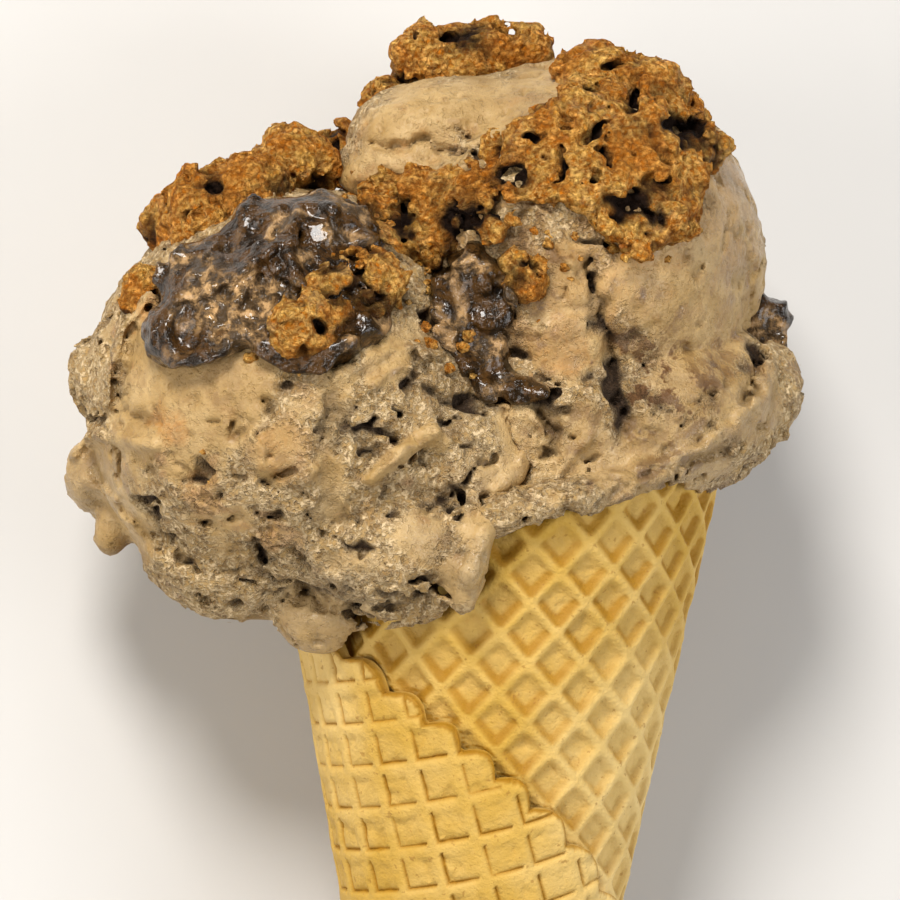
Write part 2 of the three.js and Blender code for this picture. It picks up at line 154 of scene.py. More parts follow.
# Toppings: how they join and sink, and each lump's x, y, half size and how far its middle stands off
CAKE_BLEND = 1.6
SAUCE_BLEND = 2.2
SAUCE_FLATNESS = 0.9
TOPPING_SINK = 1.6
TOPPING_MERGING = 0.03
CAKE_SEED = 401
FUDGE_SEED = 301
FOAM_POOL = (-38.0, 182.3, 7.5, 5.5)
CAKES = {
    "cake_top": [(-11.6, 217.4, 5.8, 1.5), (-4.6, 217.4, 6.6, 1.5), (1.8, 217.6, 5.0, 1.0)],
    "cake_top_small": [(-16.8, 211.4, 4.4, 1.8)],
    "cake_crust": [
        (12.0, 214.6, 5.6, 0), (19.0, 211.4, 6.6, -0.6), (25.0, 205.2, 5.4, -0.6), (17.6, 204.0, 8.4, -3.8),
        (9.2, 205.0, 8.0, -3.8), (19.8, 196.0, 6.6, -3.0), (12.0, 198.0, 6.4, -3.2),
        (2.4, 203.6, 5.2, -1.6),
    ],
    "cake_left": [
        (-46.2, 192.2, 5.2, 0.8), (-40.4, 194.4, 6.4, -0.6), (-34.4, 197.2, 5.8, 0),
        (-29.0, 201.4, 6.0, 1.6), (-23.0, 204.2, 4.6, 1.0),
    ],
    "cake_strip": [(-49.0, 183.8, 3.0, -0.6), (-50.4, 180.6, 2.8, -0.6)],
    "cake_middle": [
        (-16.9, 198.0, 5.2, -0.6), (-10.6, 195.6, 5.8, -0.8), (-5.0, 195.0, 4.4, -1.0),
        (-14.0, 191.0, 5.0, -0.6),
    ],
    "cake_front": [(-26.6, 179.0, 4.6, 1.6), (-22.4, 183.4, 4.2, 0.8), (-17.6, 185.0, 4.8, 0.4)],
    "cake_side": [(2.4, 186.4, 3.4, -0.2)],
}
FUDGES = {
    "fudge_left": [
        (-43.4, 177.8, 5.0, -1.6), (-38.4, 181.4, 7.6, -4.6), (-31.0, 182.4, 8.4, -5.6),
        (-21.8, 179.6, 6.4, -3.2), (-24.6, 189.0, 7.6, -4.6), (-32.6, 189.4, 6.6, -3.8),
        (-41.6, 184.6, 5.0, -2.2),
    ],
    "fudge_middle": [
        (-3.6, 186.2, 4.6, -1.0), (-6.4, 181.8, 5.6, -1.6), (-4.4, 176.6, 4.8, -0.6),
        (0.8, 171.8, 3.6, 1.2),
    ],
    "fudge_right": [(37.0, 182.6, 4.0, 1.2), (37.4, 178.6, 3.6, 1.4)],
}

# Small holes, and strokes: half width, height (below nought for a groove) and the way, as seen from the front
HOLE_DEPTH = 2.4
LEFT_STROKES = [
    (1.5, 1.5, [
        (2.0, 169.8), (4.3, 167.2), (4.4, 163.6), (3.1, 159.7), (0.2, 155.7), (-1.4, 150.3), (-3.6, 145.2),
    ]),
    (0.5, -1.8, [(-10.4, 154.3), (-4.5, 158.1), (0.1, 161.9)]),
    (1.1, 1.7, [(-17.9, 158.3), (-14.8, 161.3), (-9.6, 165.3)]),
    (1.5, 1.2, [(-8.9, 164.3), (-8.1, 163.6)]),
    (1.5, -0.9, [(-23.1, 169.3), (-24.3, 162.2), (-23.3, 152.4), (-22.2, 145.8)]),
    (0.7, 0.6, [(-21.0, 165.1), (-21.3, 155.2), (-19.7, 146.8)]),
    (0.7, 0.6, [(-25.6, 169.2), (-26.5, 159.3), (-25.3, 146.7)]),
    (0.9, 1.0, [(-49.7, 184.8), (-53.5, 178.3), (-55.3, 172.4), (-55.8, 168.1)]),
    (0.7, -0.9, [(-47.9, 183.8), (-51.5, 177.5), (-53.2, 171.4), (-53.8, 168.1)]),
    (0.9, 1.2, [(-60.1, 160.5), (-57.6, 162.7), (-53.7, 163.4), (-48.8, 162.1)]),
    (0.6, -1.2, [(-56.8, 165.5), (-53.5, 166.8), (-49.2, 165.8)]),
    (0.8, 0.8, [(-58.3, 157.1), (-54.2, 154.3), (-51.3, 150.2), (-47.3, 146.1)]),
    (0.5, -0.8, [(-34.5, 144.7), (-23.2, 142.5), (-9.9, 143.9)]),
    (0.5, -0.9, [(-32.8, 142.3), (-21.0, 140.6), (-11.2, 141.7)]),
    (0.8, 1.0, [(-35.1, 163.9), (-33.2, 159.1), (-27.8, 156.9), (-25.4, 159.4)]),
    (1.0, 0.9, [(-22.6, 172.8), (-17.8, 175.8), (-11.5, 176.7)]),
    (0.8, 0.9, [(-19.0, 170.1), (-14.5, 174.5), (-8.6, 176.4)]),
    (0.7, -1.6, [(-10.9, 170.6), (-5.8, 169.1), (2.2, 170.5)]),
    (0.9, -1.9, [(-33.4, 157.9), (-29.0, 157.9)]),
    (0.6, -1.8, [(-33.0, 169.4), (-32.4, 168.2)]),
    (0.6, -1.8, [(-36.7, 166.2), (-36.3, 164.4)]),
]
LEFT_HOLES = [
    (-36.2, 158.4), (-31.2, 151.9), (-32.2, 146.8), (-26.7, 142.4), (-20.4, 152.5), (-18.9, 148.0),
    (-14.5, 159.7), (-11.3, 161.9), (-5.5, 155.7), (-37.3, 152.7), (-41.1, 151.9), (-43.0, 146.2),
    (-20.4, 168.7), (-25.5, 165.0), (-18.5, 165.2),
]
RIGHT_STROKES = [
    (1.5, -1.9, [(12.1, 189.4), (13.7, 183.0), (15.1, 177.4), (16.6, 171.1), (17.4, 166.9)]),
    (0.9, 0.8, [(14.4, 187.9), (16.1, 180.2), (17.1, 173.2), (20.2, 169.2)]),
    (2.4, 1.1, [(6.1, 177.1), (9.6, 178.6), (12.4, 177.3)]),
    (0.6, 0.6, [(4.0, 179.2), (7.9, 181.1), (12.2, 181.3), (13.4, 178.1), (12.9, 174.4), (7.6, 173.9)]),
    (1.3, -3.2, [(5.4, 169.8), (6.5, 167.6), (7.6, 165.5)]),
    (0.6, -1.6, [(-18.6, 205.2), (-11.5, 205.4), (-4.1, 204.5)]),
    (1.8, 1.0, [(-22.7, 200.3), (-19.0, 203.1), (-14.3, 202.9), (-10.4, 200.4)]),
    (3.0, 1.0, [(-18.0, 207.8), (-11.0, 210.6), (-1.2, 212.3), (7.2, 212.2)]),
    (0.7, -3.0, [(35.9, 179.6), (36.3, 176.4), (34.6, 171.0)]),
    (0.9, 1.0, [(37.9, 178.7), (38.4, 173.8), (34.1, 168.6)]),
    (1.2, 0.9, [(19.4, 161.7), (23.5, 161.0), (28.3, 163.7), (33.9, 166.9)]),
    (0.5, -0.9, [(20.0, 159.8), (27.0, 161.4), (33.3, 164.5)]),
    (0.6, 0.9, [(3.1, 199.0), (7.2, 193.4), (11.5, 187.7)]),
    (0.8, -0.7, [(33.4, 194.8), (34.8, 186.4), (34.6, 180.7)]),
    (0.5, -0.5, [(0.5, 153.8), (8.8, 157.6), (21.4, 159.4), (31.5, 163.0)]),
    (0.9, 0.9, [(8.4, 173.0), (12.4, 171.0), (12.8, 164.6), (8.7, 160.3)]),
]
RIGHT_HOLES = [
    (4.7, 164.4), (7.0, 162.8), (9.3, 168.1), (10.7, 164.6), (12.9, 162.5), (3.1, 160.1), (27.2, 170.4),
    (29.8, 171.3),
]
FUDGE_STROKES = [
    (1.5, 1.4, [
        (-48.2, 180.2), (-48.4, 176.3), (-46.3, 174.6), (-43.8, 174.4), (-40.2, 175.9), (-35.9, 177.3),
        (-32.9, 175.8), (-28.9, 173.9), (-25.2, 174.3), (-21.1, 177.1),
    ]),
    (0.9, 0.9, [
        (-46.0, 182.8), (-40.6, 185.3), (-34.6, 188.4), (-30.5, 193.7), (-28.6, 196.5), (-24.0, 195.8),
    ]),
    (0.8, 1.0, [(-28.9, 195.2), (-30.2, 190.2), (-28.6, 185.3)]),
    (0.8, 1.0, [(-24.0, 195.8), (-22.4, 191.9), (-18.7, 192.5)]),
    (0.7, 0.7, [(-42.0, 184.3), (-38.1, 181.3), (-35.5, 178.1)]),
    (1.4, -2.0, [(-34.0, 186.2), (-33.0, 182.4)]),
    (1.1, -1.6, [(-21.3, 187.4), (-19.9, 185.2)]),
    (0.8, 1.2, [(-7.3, 189.2), (-3.4, 189.8), (0.2, 186.8), (1.6, 184.3)]),
    (0.9, 0.9, [(-2.0, 172.1), (1.6, 172.5), (5.9, 171.2)]),
]

# Layers of topping on the shown side: outline as seen from the front and thickness
LAYERS = {
    "fudge_left": (1.7, [
        (-48.2, 181.6), (-48.7, 177.7), (-48.3, 175.4), (-46.3, 174.1), (-43.8, 174.2), (-40.2, 175.9),
        (-35.9, 177.3), (-32.9, 175.6), (-29.1, 173.5), (-25.5, 173.7), (-22.0, 176.4), (-19.3, 178.6),
        (-18.0, 183.5), (-16.7, 188.9), (-17.9, 194.1), (-18.9, 196.2), (-23.7, 197.0), (-27.5, 197.9),
        (-29.6, 196.9), (-31.0, 194.9), (-35.2, 190.7), (-39.3, 188.3), (-42.9, 186.8), (-46.2, 184.2),
    ]),
    "fudge_middle": (1.6, [
        (-9.0, 189.1), (-6.9, 190.4), (-3.4, 190.7), (-0.5, 188.2), (2.1, 184.1), (0.8, 180.5),
        (-0.8, 177.7), (0.2, 173.9), (6.2, 173.2), (6.6, 170.5), (2.1, 169.7), (-2.5, 169.9), (-5.5, 173.7),
        (-8.7, 177.4), (-10.5, 182.3),
    ]),
    "cake_crust": (3.0, [
        (8.3, 218.1), (12.7, 219.3), (19.8, 216.7), (26.7, 212.4), (29.4, 206.0), (28.5, 199.6),
        (26.1, 195.3), (22.7, 191.0), (19.2, 189.9), (15.2, 192.2), (12.3, 195.3), (8.4, 197.6),
        (4.9, 198.2), (-0.1, 197.4), (-3.6, 199.4), (-2.1, 203.7), (1.8, 206.6), (3.1, 209.7), (7.3, 212.7),
    ]),
    "cake_middle": (2.8, [
        (-20.3, 201.8), (-15.0, 203.3), (-10.7, 201.8), (-5.1, 201.9), (-1.1, 200.2), (2.1, 196.8),
        (0.1, 192.5), (-3.4, 190.7), (-6.9, 191.1), (-10.4, 189.1), (-13.9, 190.0), (-16.8, 192.3),
        (-20.4, 195.4),
    ]),
    "cake_front": (3.2, [
        (-32.1, 183.1), (-28.6, 185.3), (-26.2, 188.2), (-21.4, 190.8), (-15.4, 189.9), (-14.2, 185.0),
        (-16.1, 181.0), (-19.8, 181.8), (-23.5, 179.1), (-25.8, 176.0), (-29.8, 176.4), (-32.7, 179.6),
    ]),
}

# Dark hollows between the crumbs: place as seen from the front, half width and half height
HOLLOW_DEPTH = 2.8
CAKE_HOLLOWS = [
    (18.0, 212.3, 1.6, 2.2), (17.3, 197.9, 3.4, 1.5), (10.8, 213.4, 2.0, 1.0), (24.0, 208.6, 2.2, 1.4),
    (-6.0, 194.9, 2.0, 3.0), (-20.5, 186.3, 1.7, 2.0), (-11.8, 184.1, 1.6, 1.2), (7.6, 202.5, 1.4, 2.0),
    (14.0, 204.1, 1.2, 1.8), (21.0, 200.9, 1.6, 1.1), (-1.6, 196.6, 1.6, 2.0), (1.5, 201.5, 1.2, 1.6),
    (-14.5, 196.0, 1.3, 1.6), (12.0, 208.0, 1.5, 1.2), (-28.6, 184.6, 1.0, 2.0), (-24.5, 188.3, 1.6, 1.0),
    (-26.4, 180.5, 1.0, 1.2),
]

# Where small crumbs are scattered: place as seen from the front, spread and number
CRUMB_SEED = 77
CRUMB_SIZES = (0.35, 1.05)
CRUMB_ZONES = [
    (-23, 195, 2.5, 8), (-16, 195.5, 3, 9), (-17, 189, 3, 8), (-10.5, 185.5, 2.5, 6), (-24, 192, 3, 6),
    (-29, 177, 3, 6), (-5, 183.5, 2.5, 6), (1.5, 194.8, 3.5, 9), (8, 189.4, 3.5, 7), (19, 192.5, 3, 6),
    (-8, 177.3, 3, 6), (-2, 178.3, 2, 5), (5, 180, 2.5, 3), (-19, 201.5, 2, 5), (-42.5, 162, 2, 2),
    (12, 202, 6, 6),
]

# Smooth patches on the shown side: place as seen from the front and radius
LEFT_SMOOTH = [
    (-46, 173, 8), (-41, 168, 8), (-50, 165, 5.5), (-36, 172.5, 5), (-10.5, 151.5, 3.4), (-16, 175, 3),
    (-23, 154, 2), (-57, 157, 6), (-53, 150, 4.5), (-25, 136, 6), (2.9, 165.8, 3), (1.0, 158.7, 3),
    (-2.3, 151.6, 3), (-3.5, 145.1, 3.5), (-31.5, 162, 3.5), (-23.7, 159.4, 2.2), (-36.9, 152, 2.3),
    (-45, 160, 2.5),
]
RIGHT_SMOOTH = [
    (27, 184, 9), (22, 188, 7), (27, 176, 6), (31, 192, 6), (-12, 209, 6), (-4, 211, 5), (-17, 202, 5),
    (9.5, 177.5, 3.5), (35, 170, 5), (28, 163, 4), (20, 160, 3), (4, 213, 5), (12.9, 163.2, 4),
    (21.3, 163.5, 5), (17.2, 160.5, 4), (8.1, 184.2, 3.5), (35, 200, 6), (34, 186, 5), (9, 190, 3),
]

# Stained, orange and melted places on the shown side: place as seen from the front, radius and strength
LEFT_STAINS = [
    (-34, 178, 14, 0.25), (-8, 176, 6, 0.4), (-57, 158, 4, 0.3), (-27, 160, 4, 0.3), (-6, 172, 6, 0.35),
]
LEFT_ORANGES = [
    (-46.5, 164.5, 2.6, 0.55), (-41, 154.5, 2.4, 0.5), (-31.5, 149.8, 2.6, 0.5), (-29, 163, 5, 0.25),
    (-49, 181, 3, 0.6),
]
LEFT_MELTS = [
    (-10, 151.5, 4.5, 0.7), (-3, 160, 5, 0.5), (-4, 147, 5, 0.9), (-23, 154, 3.5, 0.5), (-24, 140, 9, 0.8),
    (-57, 156, 6, 0.6),
]
RIGHT_STAINS = [
    (24, 170, 15, 0.3), (22, 178, 5.5, 0.75), (21, 172, 6, 0.9), (26, 171, 6, 0.8), (3, 189, 8, 0.6),
    (-2, 183, 9, 0.6), (4, 176, 6, 0.4), (24, 163, 6, 0.65), (14, 167, 5, 0.5), (31, 176, 5, 0.5),
    (20, 167, 5, 0.6), (5, 209, 4.5, 0.35), (8, 168, 5, 0.35), (33, 165, 4, 0.3),
]
RIGHT_ORANGES = [
    (8, 178, 5, 0.4), (1, 180, 4, 0.4), (14, 187, 10, 0.2), (20, 200, 16, 0.3), (-12, 193, 10, 0.35),
]
RIGHT_MELTS = [
    (31, 194, 8, 0.7), (35, 200, 8, 0.9), (28, 162, 7, 0.7), (7, 181, 4, 0.4), (36, 170, 5, 0.7),
    (6, 210, 6, 0.5), (18, 158, 8, 0.4),
]

# How the cone lies
LEAN_BACK = math.radians(10.94)
ROLL_LEFT = math.radians(-9.08)
FLOOR_LEVEL = -2.95
LIE_AT = (-9.67, 114.34)
POSE = (
    Matrix.Translation((-LIE_AT[0], -LIE_AT[1], -FLOOR_LEVEL))
    @ Matrix.Rotation(LEAN_BACK, 4, "X")
    @ Matrix.Rotation(ROLL_LEFT, 4, "Y")
)

# The view: straight onto the shown side
VIEW_AT = (-6.85, 162.7)
VIEW_DISTANCE = 650.0
VIEW_LEAN = math.radians(1.57)
VIEW_WIDTH = 126.76
SENSOR_MM = 36.0

# The stage, in metres: each light's name, place, width, power in watts and colour
FLOOR_HALF = 1.5
LIGHTS = [
    ("key", (-0.20, 0.40, 0.60), 0.22, 5.2, (1.0, 0.97, 0.93)),
    ("fill", (0.50, -0.16, 0.46), 0.45, 3.1, (0.97, 0.98, 1.0)),
    ("low", (-0.45, -0.10, 0.42), 0.45, 2.4, (1.0, 0.97, 0.93)),
]
LIT_PLACE = (0, 0.05, 0.03)
WORLD_COLOUR = (0.95, 0.93, 0.9, 1)
WORLD_STRENGTH = 0.18

SIN_A = math.sin(HALF_ANGLE)
COS_A = math.cos(HALF_ANGLE)


def linear(red, green, blue):
    """A colour as the eye names it, 0 to 255, in the renderer's own scale."""
    return tuple(((c / 255 + 0.055) / 1.055) ** 2.4 if c > 10 else c / 3294.6 for c in (red, green, blue))


def smooth_step(low, high, value):
    share = np.clip((value - low) / (high - low), 0, 1)
    return share * share * (3 - 2 * share)


# Unevenness that comes out the same each time


def noise(points, size, seed):
    """Soft unevenness from about -1 to 1, with swells of that size in millimetres."""
    table = np.random.default_rng(seed).random(32**3, dtype=np.float32) * 2 - 1
    where = points.astype(np.float32) / np.float32(size)
    low = np.floor(where)
    part = where - low
    part *= part * (3 - 2 * part)
    low = low.astype(np.int32) & 31
    high = (low + 1) & 31
    across = [low[:, 0] * 1024, high[:, 0] * 1024]
    along = [low[:, 1] * 32, high[:, 1] * 32]
    sides = []
    for a in across:
        edges = []
        for b in along:
            start = table.take(a + b + low[:, 2])
            edges.append(start + part[:, 2] * (table.take(a + b + high[:, 2]) - start))
        sides.append(edges[0] + part[:, 1] * (edges[1] - edges[0]))
    return (sides[0] + part[:, 0] * (sides[1] - sides[0])) * np.float32(1.6)


def grains(points, size, seed):
    """How far the nearest grain's middle is, from 0 to about 1 grain spacing."""
    table = np.random.default_rng(seed).random((16, 16, 16, 3), dtype=np.float32)
    where = points / np.float32(size)
    low = np.floor(where).astype(np.int32)
    nearest = np.full(len(points), 9, np.float32)
    for offset in itertools.product((-1, 0, 1), repeat=3):
        cell = low + np.array(offset, np.int32)
        middle = cell + table[cell[:, 0] & 15, cell[:, 1] & 15, cell[:, 2] & 15]
        away = where - middle
        nearest = np.minimum(nearest, np.einsum("ij,ij->i", away, away))
    return np.sqrt(nearest)


def wave(x, y, z, seed):
    return (
        np.sin(x * 1.9 + y * 0.8 + seed * 2.1)
        + np.sin(y * 2.3 - z * 1.1 + seed * 1.3)
        + np.sin(z * 2.1 + x * 1.3 - y * 0.6 + seed * 3.7)
    ) / 2


# Places as seen from the front


def seen(points):
    near = VIEW_DISTANCE / (VIEW_DISTANCE - points[:, 2])
    return np.stack([
        VIEW_AT[0] + (points[:, 0] - VIEW_AT[0]) * near,
        VIEW_AT[1] + (points[:, 1] - VIEW_AT[1]) * near,
    ], 1)


def drift(points, size, seed):
    """How far seen places are pushed about, so that what is drawn there comes out ragged."""
    return np.stack([noise(points, size, seed), noise(points, size, seed + 1)], 1)


def from_line(places, way):
    """Distance of seen places from a way of straight pieces."""
    nearest = np.full(len(places), 1e9)
    for start, end in zip(way, way[1:]):
        a = np.array(start)
        along = np.array(end) - a
        share = np.clip(((places - a) @ along) / (along @ along), 0, 1)
        nearest = np.minimum(nearest, np.hypot(*(places - a - share[:, None] * along).T))
    return nearest


def close_to(places, way, margin):
    """Which places lie in the box round a way."""
    low = np.min(way, axis=0) - margin
    high = np.max(way, axis=0) + margin
    return np.flatnonzero(np.all((places > low) & (places < high), axis=1))


def from_outline(places, outline):
    """Distance of seen places from a closed outline, below nought inside."""
    closed = [*outline, outline[0]]
    crossings = np.zeros(len(places), int)
    for (ax, ay), (bx, by) in zip(closed, closed[1:]):
        beside = (ay > places[:, 1]) != (by > places[:, 1])
        crossings += beside & (places[:, 0] < (bx - ax) * (places[:, 1] - ay) / (by - ay + 1e-9) + ax)
    away = from_line(places, closed)
    return np.where(crossings % 2 == 1, -away, away)


def strokes_height(points, strokes, holes, middle_z):
    """How much strokes and small holes raise or lower the shown side."""
    swept = seen(points) + 0.5 * drift(points, 3, 91)
    torn = swept + 0.9 * drift(points, 1.4, 93)
    height = np.zeros(len(points))
    for half_width, rise, way in strokes:
        around = close_to(swept, way, 3 * half_width + 2)
        if rise > 0:
            height[around] += rise * np.exp(-((from_line(swept[around], way) / half_width) ** 4))
        else:
            height[around] += rise * np.exp(-((from_line(torn[around], way) / half_width) ** 2))
    for k, (x, y) in enumerate(holes):
        width = 0.8 + 0.35 * (k % 3)
        around = close_to(swept, [(x, y)], 6)
        across = torn[around, 0] - x
        along = (torn[around, 1] - y) * 1.6
        height[around] -= HOLE_DEPTH * np.exp(-((np.hypot(across, along) / width) ** 2))
    return height * smooth_step(middle_z, middle_z + 6, points[:, 2])


def patches(points, discs, strokes, middle_z, seed):
    """1 on smooth patches and broad raised strokes, 0 off them. The back is smooth in places of its own."""
    places = seen(points)
    ragged = 1 + 0.22 * noise(points, 3.5, seed)
    front = np.zeros(len(points))
    for x, y, radius in discs:
        around = close_to(places, [(x, y)], 2 * radius)
        away = np.hypot(places[around, 0] - x, places[around, 1] - y) / radius * ragged[around]
        front[around] = np.maximum(front[around], 1 - smooth_step(0.85, 1.25, away))
    for half_width, rise, way in strokes:
        if rise >= 1 and half_width >= 1.1:
            around = close_to(places, way, 3 * half_width)
            away = from_line(places[around], way) / half_width * ragged[around]
            front[around] = np.maximum(front[around], 1 - smooth_step(0.8, 1.4, away))
    islands = smooth_step(0.5, 0.8, noise(points + 2.5 * ragged[:, None], 5, seed + 2))
    front = np.maximum(front, 0.7 * islands)
    back = smooth_step(-0.35, 0.15, noise(points, 14, seed + 1))
    facing = smooth_step(middle_z - 6, middle_z + 4, points[:, 2])
    return front * facing + back * (1 - facing)


# Solid shapes as distance fields, below nought inside


def ellipsoid_field(points, lump, grow=0.0):
    size = np.array(lump[3:], np.float32) + np.float32(grow)
    scaled = (points - np.array(lump[:3], np.float32)) / size
    out = np.sqrt(np.einsum("ij,ij->i", scaled, scaled)) + 1e-6
    steep = np.sqrt(np.einsum("ij,ij->i", scaled / size, scaled / size)) + 1e-6
    return out * (out - 1) / steep


def soft_union(first, second, width):
    share = np.clip(0.5 + 0.5 * (second - first) / width, 0, 1)
    return second * (1 - share) + first * share - width * share * (1 - share)


def reach_of_lump(directions, centre, lump):
    size = np.array(lump[3:], np.float32)
    offset = (np.array(lump[:3]) - np.array(centre)).astype(np.float32)
    a = ((directions / size) ** 2).sum(1)
    b = directions @ (offset / size ** 2)
    c = float(((offset / size) ** 2).sum()) - 1
    inside = np.maximum(b * b - a * c, 0)
    return np.where(inside > 0, np.maximum(b + np.sqrt(inside), 0) / a, 0)


def scoop_body(points, centre, size, swells, seed):
    away = points - np.array(centre, np.float32)
    far = np.linalg.norm(away, axis=1) + 1e-6
    directions = away / far[:, None]
    total = (np.linalg.norm(directions / np.array(size, np.float32), axis=1)) ** -float(BLEND)
    for lump in swells:
        total = total + reach_of_lump(directions, centre, lump) ** BLEND
    reach = total ** (1 / BLEND) + SCOOP_WAVE * wave(*(directions.T * 4), seed)
    return far - reach


def left_body(points):
    field = scoop_body(points, LEFT_CENTRE, LEFT_SIZE, LEFT_SWELLS, 1)
    for lump in LEFT_DRIPS:
        field = soft_union(field, ellipsoid_field(points, lump), DRIP_BLEND)
    return field


def skirt_field(points):
    x, y, z = (points[:, k] - SKIRT[k] for k in range(3))
    along = x * math.cos(SKIRT_RISE) + y * math.sin(SKIRT_RISE)
    up = -x * math.sin(SKIRT_RISE) + y * math.cos(SKIRT_RISE)
    turned_up = up * math.cos(SKIRT_SLOPE) + z * math.sin(SKIRT_SLOPE)
    turned_out = -up * math.sin(SKIRT_SLOPE) + z * math.cos(SKIRT_SLOPE)
    return ellipsoid_field(np.stack([along, turned_up, turned_out], 1), (0, 0, 0, *SKIRT[3:]))


def cone_place(points):
    """Slant distance from the apex, angle round the cone and lift off it."""
    radius = np.hypot(points[:, 0], points[:, 2])
    rho = radius * SIN_A + points[:, 1] * COS_A
    lift = radius * COS_A - points[:, 1] * SIN_A
    return rho, np.arctan2(points[:, 0], points[:, 2]), lift


def plug_field(points):
    rho, theta, lift = cone_place(points)
    inner = layer_lift(SHEET_START) - WAFER_THICKNESS - GAP
    return np.maximum.reduce([lift - inner, PLUG_FROM - points[:, 1], points[:, 1] - PLUG_TO])


def right_body(points):
    field = scoop_body(points, RIGHT_CENTRE, RIGHT_SIZE, RIGHT_SWELLS, 2)
    field = soft_union(field, skirt_field(points), SKIRT_BLEND)
    for lump in RIGHT_DRIPS:
        field = soft_union(field, ellipsoid_field(points, lump), DRIP_BLEND)
    return np.minimum(field, plug_field(points))


def layer_lift(theta):
    return TURN_STEP * (theta - math.pi) / (2 * math.pi)


def smooth_radius(angle):
    oval = SHEET_OVAL * np.cos(2 * (angle - SHEET_OVAL_AT))
    swell = SHEET_SWELL * np.cos(angle - SHEET_SWELL_AT)
    dip = SHEET_DIP * np.exp(-(((angle - SHEET_DIP_AT) / SHEET_DIP_SPREAD) ** 2))
    return SHEET_RADIUS + oval + swell - dip


def rim_rho(theta):
    """How far up the sheet reaches at an angle round the cone."""
    psi = theta * SIN_A
    rho = np.full(len(theta), 150.0)
    for _ in range(10):
        x = rho * np.sin(psi) - SHEET_CENTRE[0]
        y = rho * np.cos(psi) - SHEET_CENTRE[1]
        rho = rho + smooth_radius(np.arctan2(y, x)) - np.hypot(x, y)
    return rho


def wall_field(points):
    """The wafer's wall near the mouth and a little more, which the ice cream keeps clear of."""
    rho, theta, lift = cone_place(points)
    theta = np.where(theta < WALL_SEAM, theta + 2 * math.pi, theta)
    steps = np.linspace(WALL_SEAM, WALL_SEAM + 2 * math.pi, 181)
    under = np.where(steps - 2 * math.pi > SHEET_START, rim_rho(steps - 2 * math.pi), 0)
    tops = np.maximum(rim_rho(steps) + LOBE_DEPTH / 2, under) + GAP
    outer = layer_lift(theta) + GAP
    inner = layer_lift(SHEET_START) - WAFER_THICKNESS - GAP
    return np.maximum.reduce([lift - outer, inner - lift, rho - np.interp(theta, steps, tops)])


def floor_field(points):
    """Below nought under the surface that the cone lies on."""
    row = POSE[2]
    return points @ np.array(row[:3], np.float32) + np.float32(row[3])


class Clay:
    """A solid as a distance field on a grid, which is shaped point by point and then meshed."""

    def __init__(self, low, high, step):
        self.low = np.array(low, np.float32)
        self.step = step
        axes = [np.arange(a, b, step, dtype=np.float32) for a, b in zip(low, high)]
        self.shape = tuple(len(axis) for axis in axes)
        self.points = np.stack([a.ravel() for a in np.meshgrid(*axes, indexing="ij")], 1)
        self.field = None

    def form(self, function):
        """Fills the grid: exactly near the surface, and from a coarse pass away from it."""
        skip = 4
        rough_axes = [np.minimum(np.arange(n) // skip * skip + skip // 2, n - 1) for n in self.shape]
        picks = [np.unique(axis) for axis in rough_axes]
        flat = np.ravel_multi_index(np.meshgrid(*picks, indexing="ij"), self.shape).ravel()
        rough = function(self.points[flat]).reshape([len(p) for p in picks])
        places = [np.searchsorted(p, axis) for p, axis in zip(picks, rough_axes)]
        self.field = rough[np.ix_(*places)].astype(np.float32).ravel()
        near = self.near(5.0 + 3 * self.step)
        self.field[near] = function(self.points[near])

    def near(self, reach):
        return np.flatnonzero(np.abs(self.field) < reach)

    def raise_by(self, function, reach):
        """Moves the surface out by what function says, where the surface is nearer than reach."""
        where = self.near(reach)
        self.field[where] -= function(self.points[where]).astype(np.float32)

    def cut(self, *functions):
        where = np.flatnonzero(self.field < 2 * self.step)
        for function in functions:
            self.field[where] = np.maximum(self.field[where], -function(self.points[where]))

    def mesh(self, merging):
        """Points, and faces of three and of four corners. Merging joins faces where the surface is flat."""
        grid = openvdb.FloatGrid(background=3 * self.step)
        values = np.clip(self.field, -3 * self.step, 3 * self.step).reshape(self.shape)
        grid.copyFromArray(np.ascontiguousarray(values, dtype=np.float32))
        points, triangles, quads = grid.convertToPolygons(0.0, merging)
        return self.low + points * self.step, [triangles[:, ::-1], quads[:, ::-1]]


# Meshes and pieces


def mesh_object(name, points, faces, attributes, material):
    """A piece from points in the cone's own frame, in millimetres, with named values per point."""
    mesh = bpy.data.meshes.new(name)
    matrix = np.array(POSE, np.float64)
    placed = (points @ matrix[:3, :3].T + matrix[:3, 3]) * MM
    mesh.vertices.add(len(placed))
    mesh.vertices.foreach_set("co", placed.astype(np.float32).ravel())
    corners = np.concatenate([f.astype(np.int32).ravel() for f in faces])
    counts = np.concatenate([np.full(len(f), f.shape[1], np.int32) for f in faces])
    mesh.loops.add(len(corners))
    mesh.loops.foreach_set("vertex_index", corners)
    mesh.polygons.add(len(counts))
    mesh.polygons.foreach_set("loop_start", np.cumsum(counts, dtype=np.int32) - counts)
    mesh.polygons.foreach_set("use_smooth", np.ones(len(counts), bool))
    mesh.update(calc_edges=True)
    for label, values in attributes.items():
        layer = mesh.attributes.new(label, "FLOAT", "POINT")
        layer.data.foreach_set("value", np.asarray(values, np.float32))
    mesh.materials.append(material)
    piece = bpy.data.objects.new(name, mesh)
    bpy.context.scene.collection.objects.link(piece)
    return piece


def mounted(piece, nodes):
    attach(piece, "root")
    if nodes:
        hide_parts(*nodes)
    return piece


# Shaders


